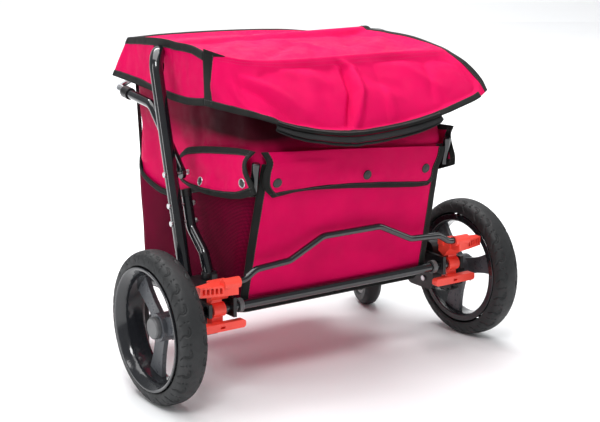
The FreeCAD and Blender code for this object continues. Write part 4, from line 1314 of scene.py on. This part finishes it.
def make_zip(front):
    """Zip half along the lid's front edge: its tape and a row of moulded teeth."""
    tape, teeth = Pieces(), Pieces()
    line, inward, normal = edge_line(front, "bottom", 3)
    covered = slice(ZIP_FIRST, ZIP_LAST)
    line, inward, normal = line[covered], inward[covered], normal[covered]
    sag = np.sin(math.pi * np.linspace(0, 1, len(line))) ** 0.5
    path = line - inward * (2.0 + 6.0 * sag)[:, None] - normal * 3.0
    tape.add_grid(sweep(path, inward, normal, outline_oval(7.0, 0.9)), closed=True, caps=True)
    lower = line - inward * (6.0 + 10.0 * sag)[:, None] - normal * 7.0
    tape.add_grid(sweep(lower, inward, normal, outline_oval(2.6, 1.6)), closed=True, caps=True)
    teeth_line = line + inward * 3.5 + normal * 2.0
    run = run_along(teeth_line)
    for where in np.arange(2.0, run[-1] - 2.0, ZIP_TEETH_PITCH):
        centre = at_distance(where, run, teeth_line)
        j = min(len(line) - 2, int(np.searchsorted(run, where)))
        along = unit(line[j + 1] - line[j])
        across, out = inward[j], normal[j]
        rings = []
        for h, size in TOOTH_PROFILE:
            reach_along, reach_across = along * TOOTH_HALF[0] * size, across * TOOTH_HALF[1] * size
            rings.append([centre + out * h + reach_along * a + reach_across * b
                          for a, b in ((-1, -1), (1, -1), (1, 1), (-1, 1))])
        teeth.add_grid(np.array(rings), closed=True, caps=True)
    tape.build("lid_zip_tape", "lid", "black_plastic", ZIP)
    teeth.build("lid_zip_teeth", "lid", "black_plastic", BLACK_PLASTIC)


# ---------------------------------------------------------------- stage, light and camera
CAMERA_AT = (-1371.29, -1931.52, 842.39)
CAMERA_TURN = -34.426
CAMERA_TILT = 13.547
CAMERA_LENS = 86.56


def area_light(name, place, target, size, power):
    lamp = bpy.data.lights.new(name, "AREA")
    lamp.shape = "RECTANGLE"
    lamp.size, lamp.size_y = size
    lamp.energy = power
    lamp_object = bpy.data.objects.new(name, lamp)
    scene.collection.objects.link(lamp_object)
    lamp_object.location = place
    direction = Vector(target) - Vector(place)
    lamp_object.rotation_euler = direction.to_track_quat("-Z", "Y").to_euler()


# The studio floor, in metres: it bends up into a wall behind the cart
FLOOR_HALF = 12.0
FLOOR_FRONT_Y = -6.0
FLOOR_BACK_Y = 5.0
FLOOR_BEND_R = 3.0
WALL_TOP_Z = 9.0


def make_stage():
    """A pale plain floor and wall, weak daylight all round, and soft boxes."""
    floor_paint = new_material("studio_floor", (0.93, 0.935, 0.945), 0.5, Specular_IOR_Level=0.3)
    grain = ranged(floor_paint, noise_of(floor_paint, 3.0), 0.3, 0.7, 0.45, 0.55)
    wire(floor_paint, grain, shader_of(floor_paint).inputs["Roughness"])
    mesh = bpy.data.meshes.new("studio_floor")
    work = bmesh.new()
    bend = [(FLOOR_BACK_Y + FLOOR_BEND_R * math.sin(a), FLOOR_BEND_R - FLOOR_BEND_R * math.cos(a))
            for a in np.linspace(0.1, math.pi / 2, 12)]
    profile = [(FLOOR_FRONT_Y, 0.0), (FLOOR_BACK_Y, 0.0), *bend, (FLOOR_BACK_Y + FLOOR_BEND_R, WALL_TOP_Z)]
    for y, z in profile:
        work.verts.new((-FLOOR_HALF, y, z))
        work.verts.new((FLOOR_HALF, y, z))
    work.verts.ensure_lookup_table()
    for k in range(len(profile) - 1):
        work.faces.new([work.verts[i] for i in (2 * k, 2 * k + 1, 2 * k + 3, 2 * k + 2)])
    work.to_mesh(mesh)
    work.free()
    mesh.materials.append(floor_paint)
    floor = bpy.data.objects.new("studio_floor", mesh)
    scene.collection.objects.link(floor)
    floor.rotation_euler = (0, 0, math.radians(CAMERA_TURN))
    world = bpy.data.worlds.new("studio")
    scene.world = world
    world.use_nodes = True
    world.node_tree.nodes["Background"].inputs[0].default_value = (0.97, 0.985, 1.0, 1)
    world.node_tree.nodes["Background"].inputs[1].default_value = 0.33
    area_light("top_softbox", (-0.2, 0.3, 2.6), (0, 0, 0.2), (2.6, 2.6), 72)
    area_light("key_softbox", (-1.4, -1.7, 2.7), (0, 0, 0.3), (0.9, 0.9), 42)
    area_light("side_softbox", (2.4, -1.2, 1.5), (0, 0, 0.3), (0.5, 1.6), 9)
    area_light("left_strip", (-2.6, 0.2, 1.0), (0, 0, 0.3), (0.4, 1.8), 13)
    area_light("background_softbox", (1.0, 2.2, 3.6), (2.0, 4.5, 0.6), (3.0, 3.0), 210)
    scene.view_settings.view_transform = "Standard"


def make_camera():
    data = bpy.data.cameras.new("camera")
    data.sensor_width = 36
    data.lens = CAMERA_LENS
    camera = bpy.data.objects.new("camera", data)
    scene.collection.objects.link(camera)
    camera.location = at(*CAMERA_AT)
    camera.rotation_euler = (math.radians(90 - CAMERA_TILT), 0, math.radians(CAMERA_TURN))
    scene.camera = camera


make_camera()
make_stage()
make_frame()
make_wheels()
make_bag()
make_front_pocket()
make_front_flap()
make_side_pockets()
make_lid()
make_hinge_strip()
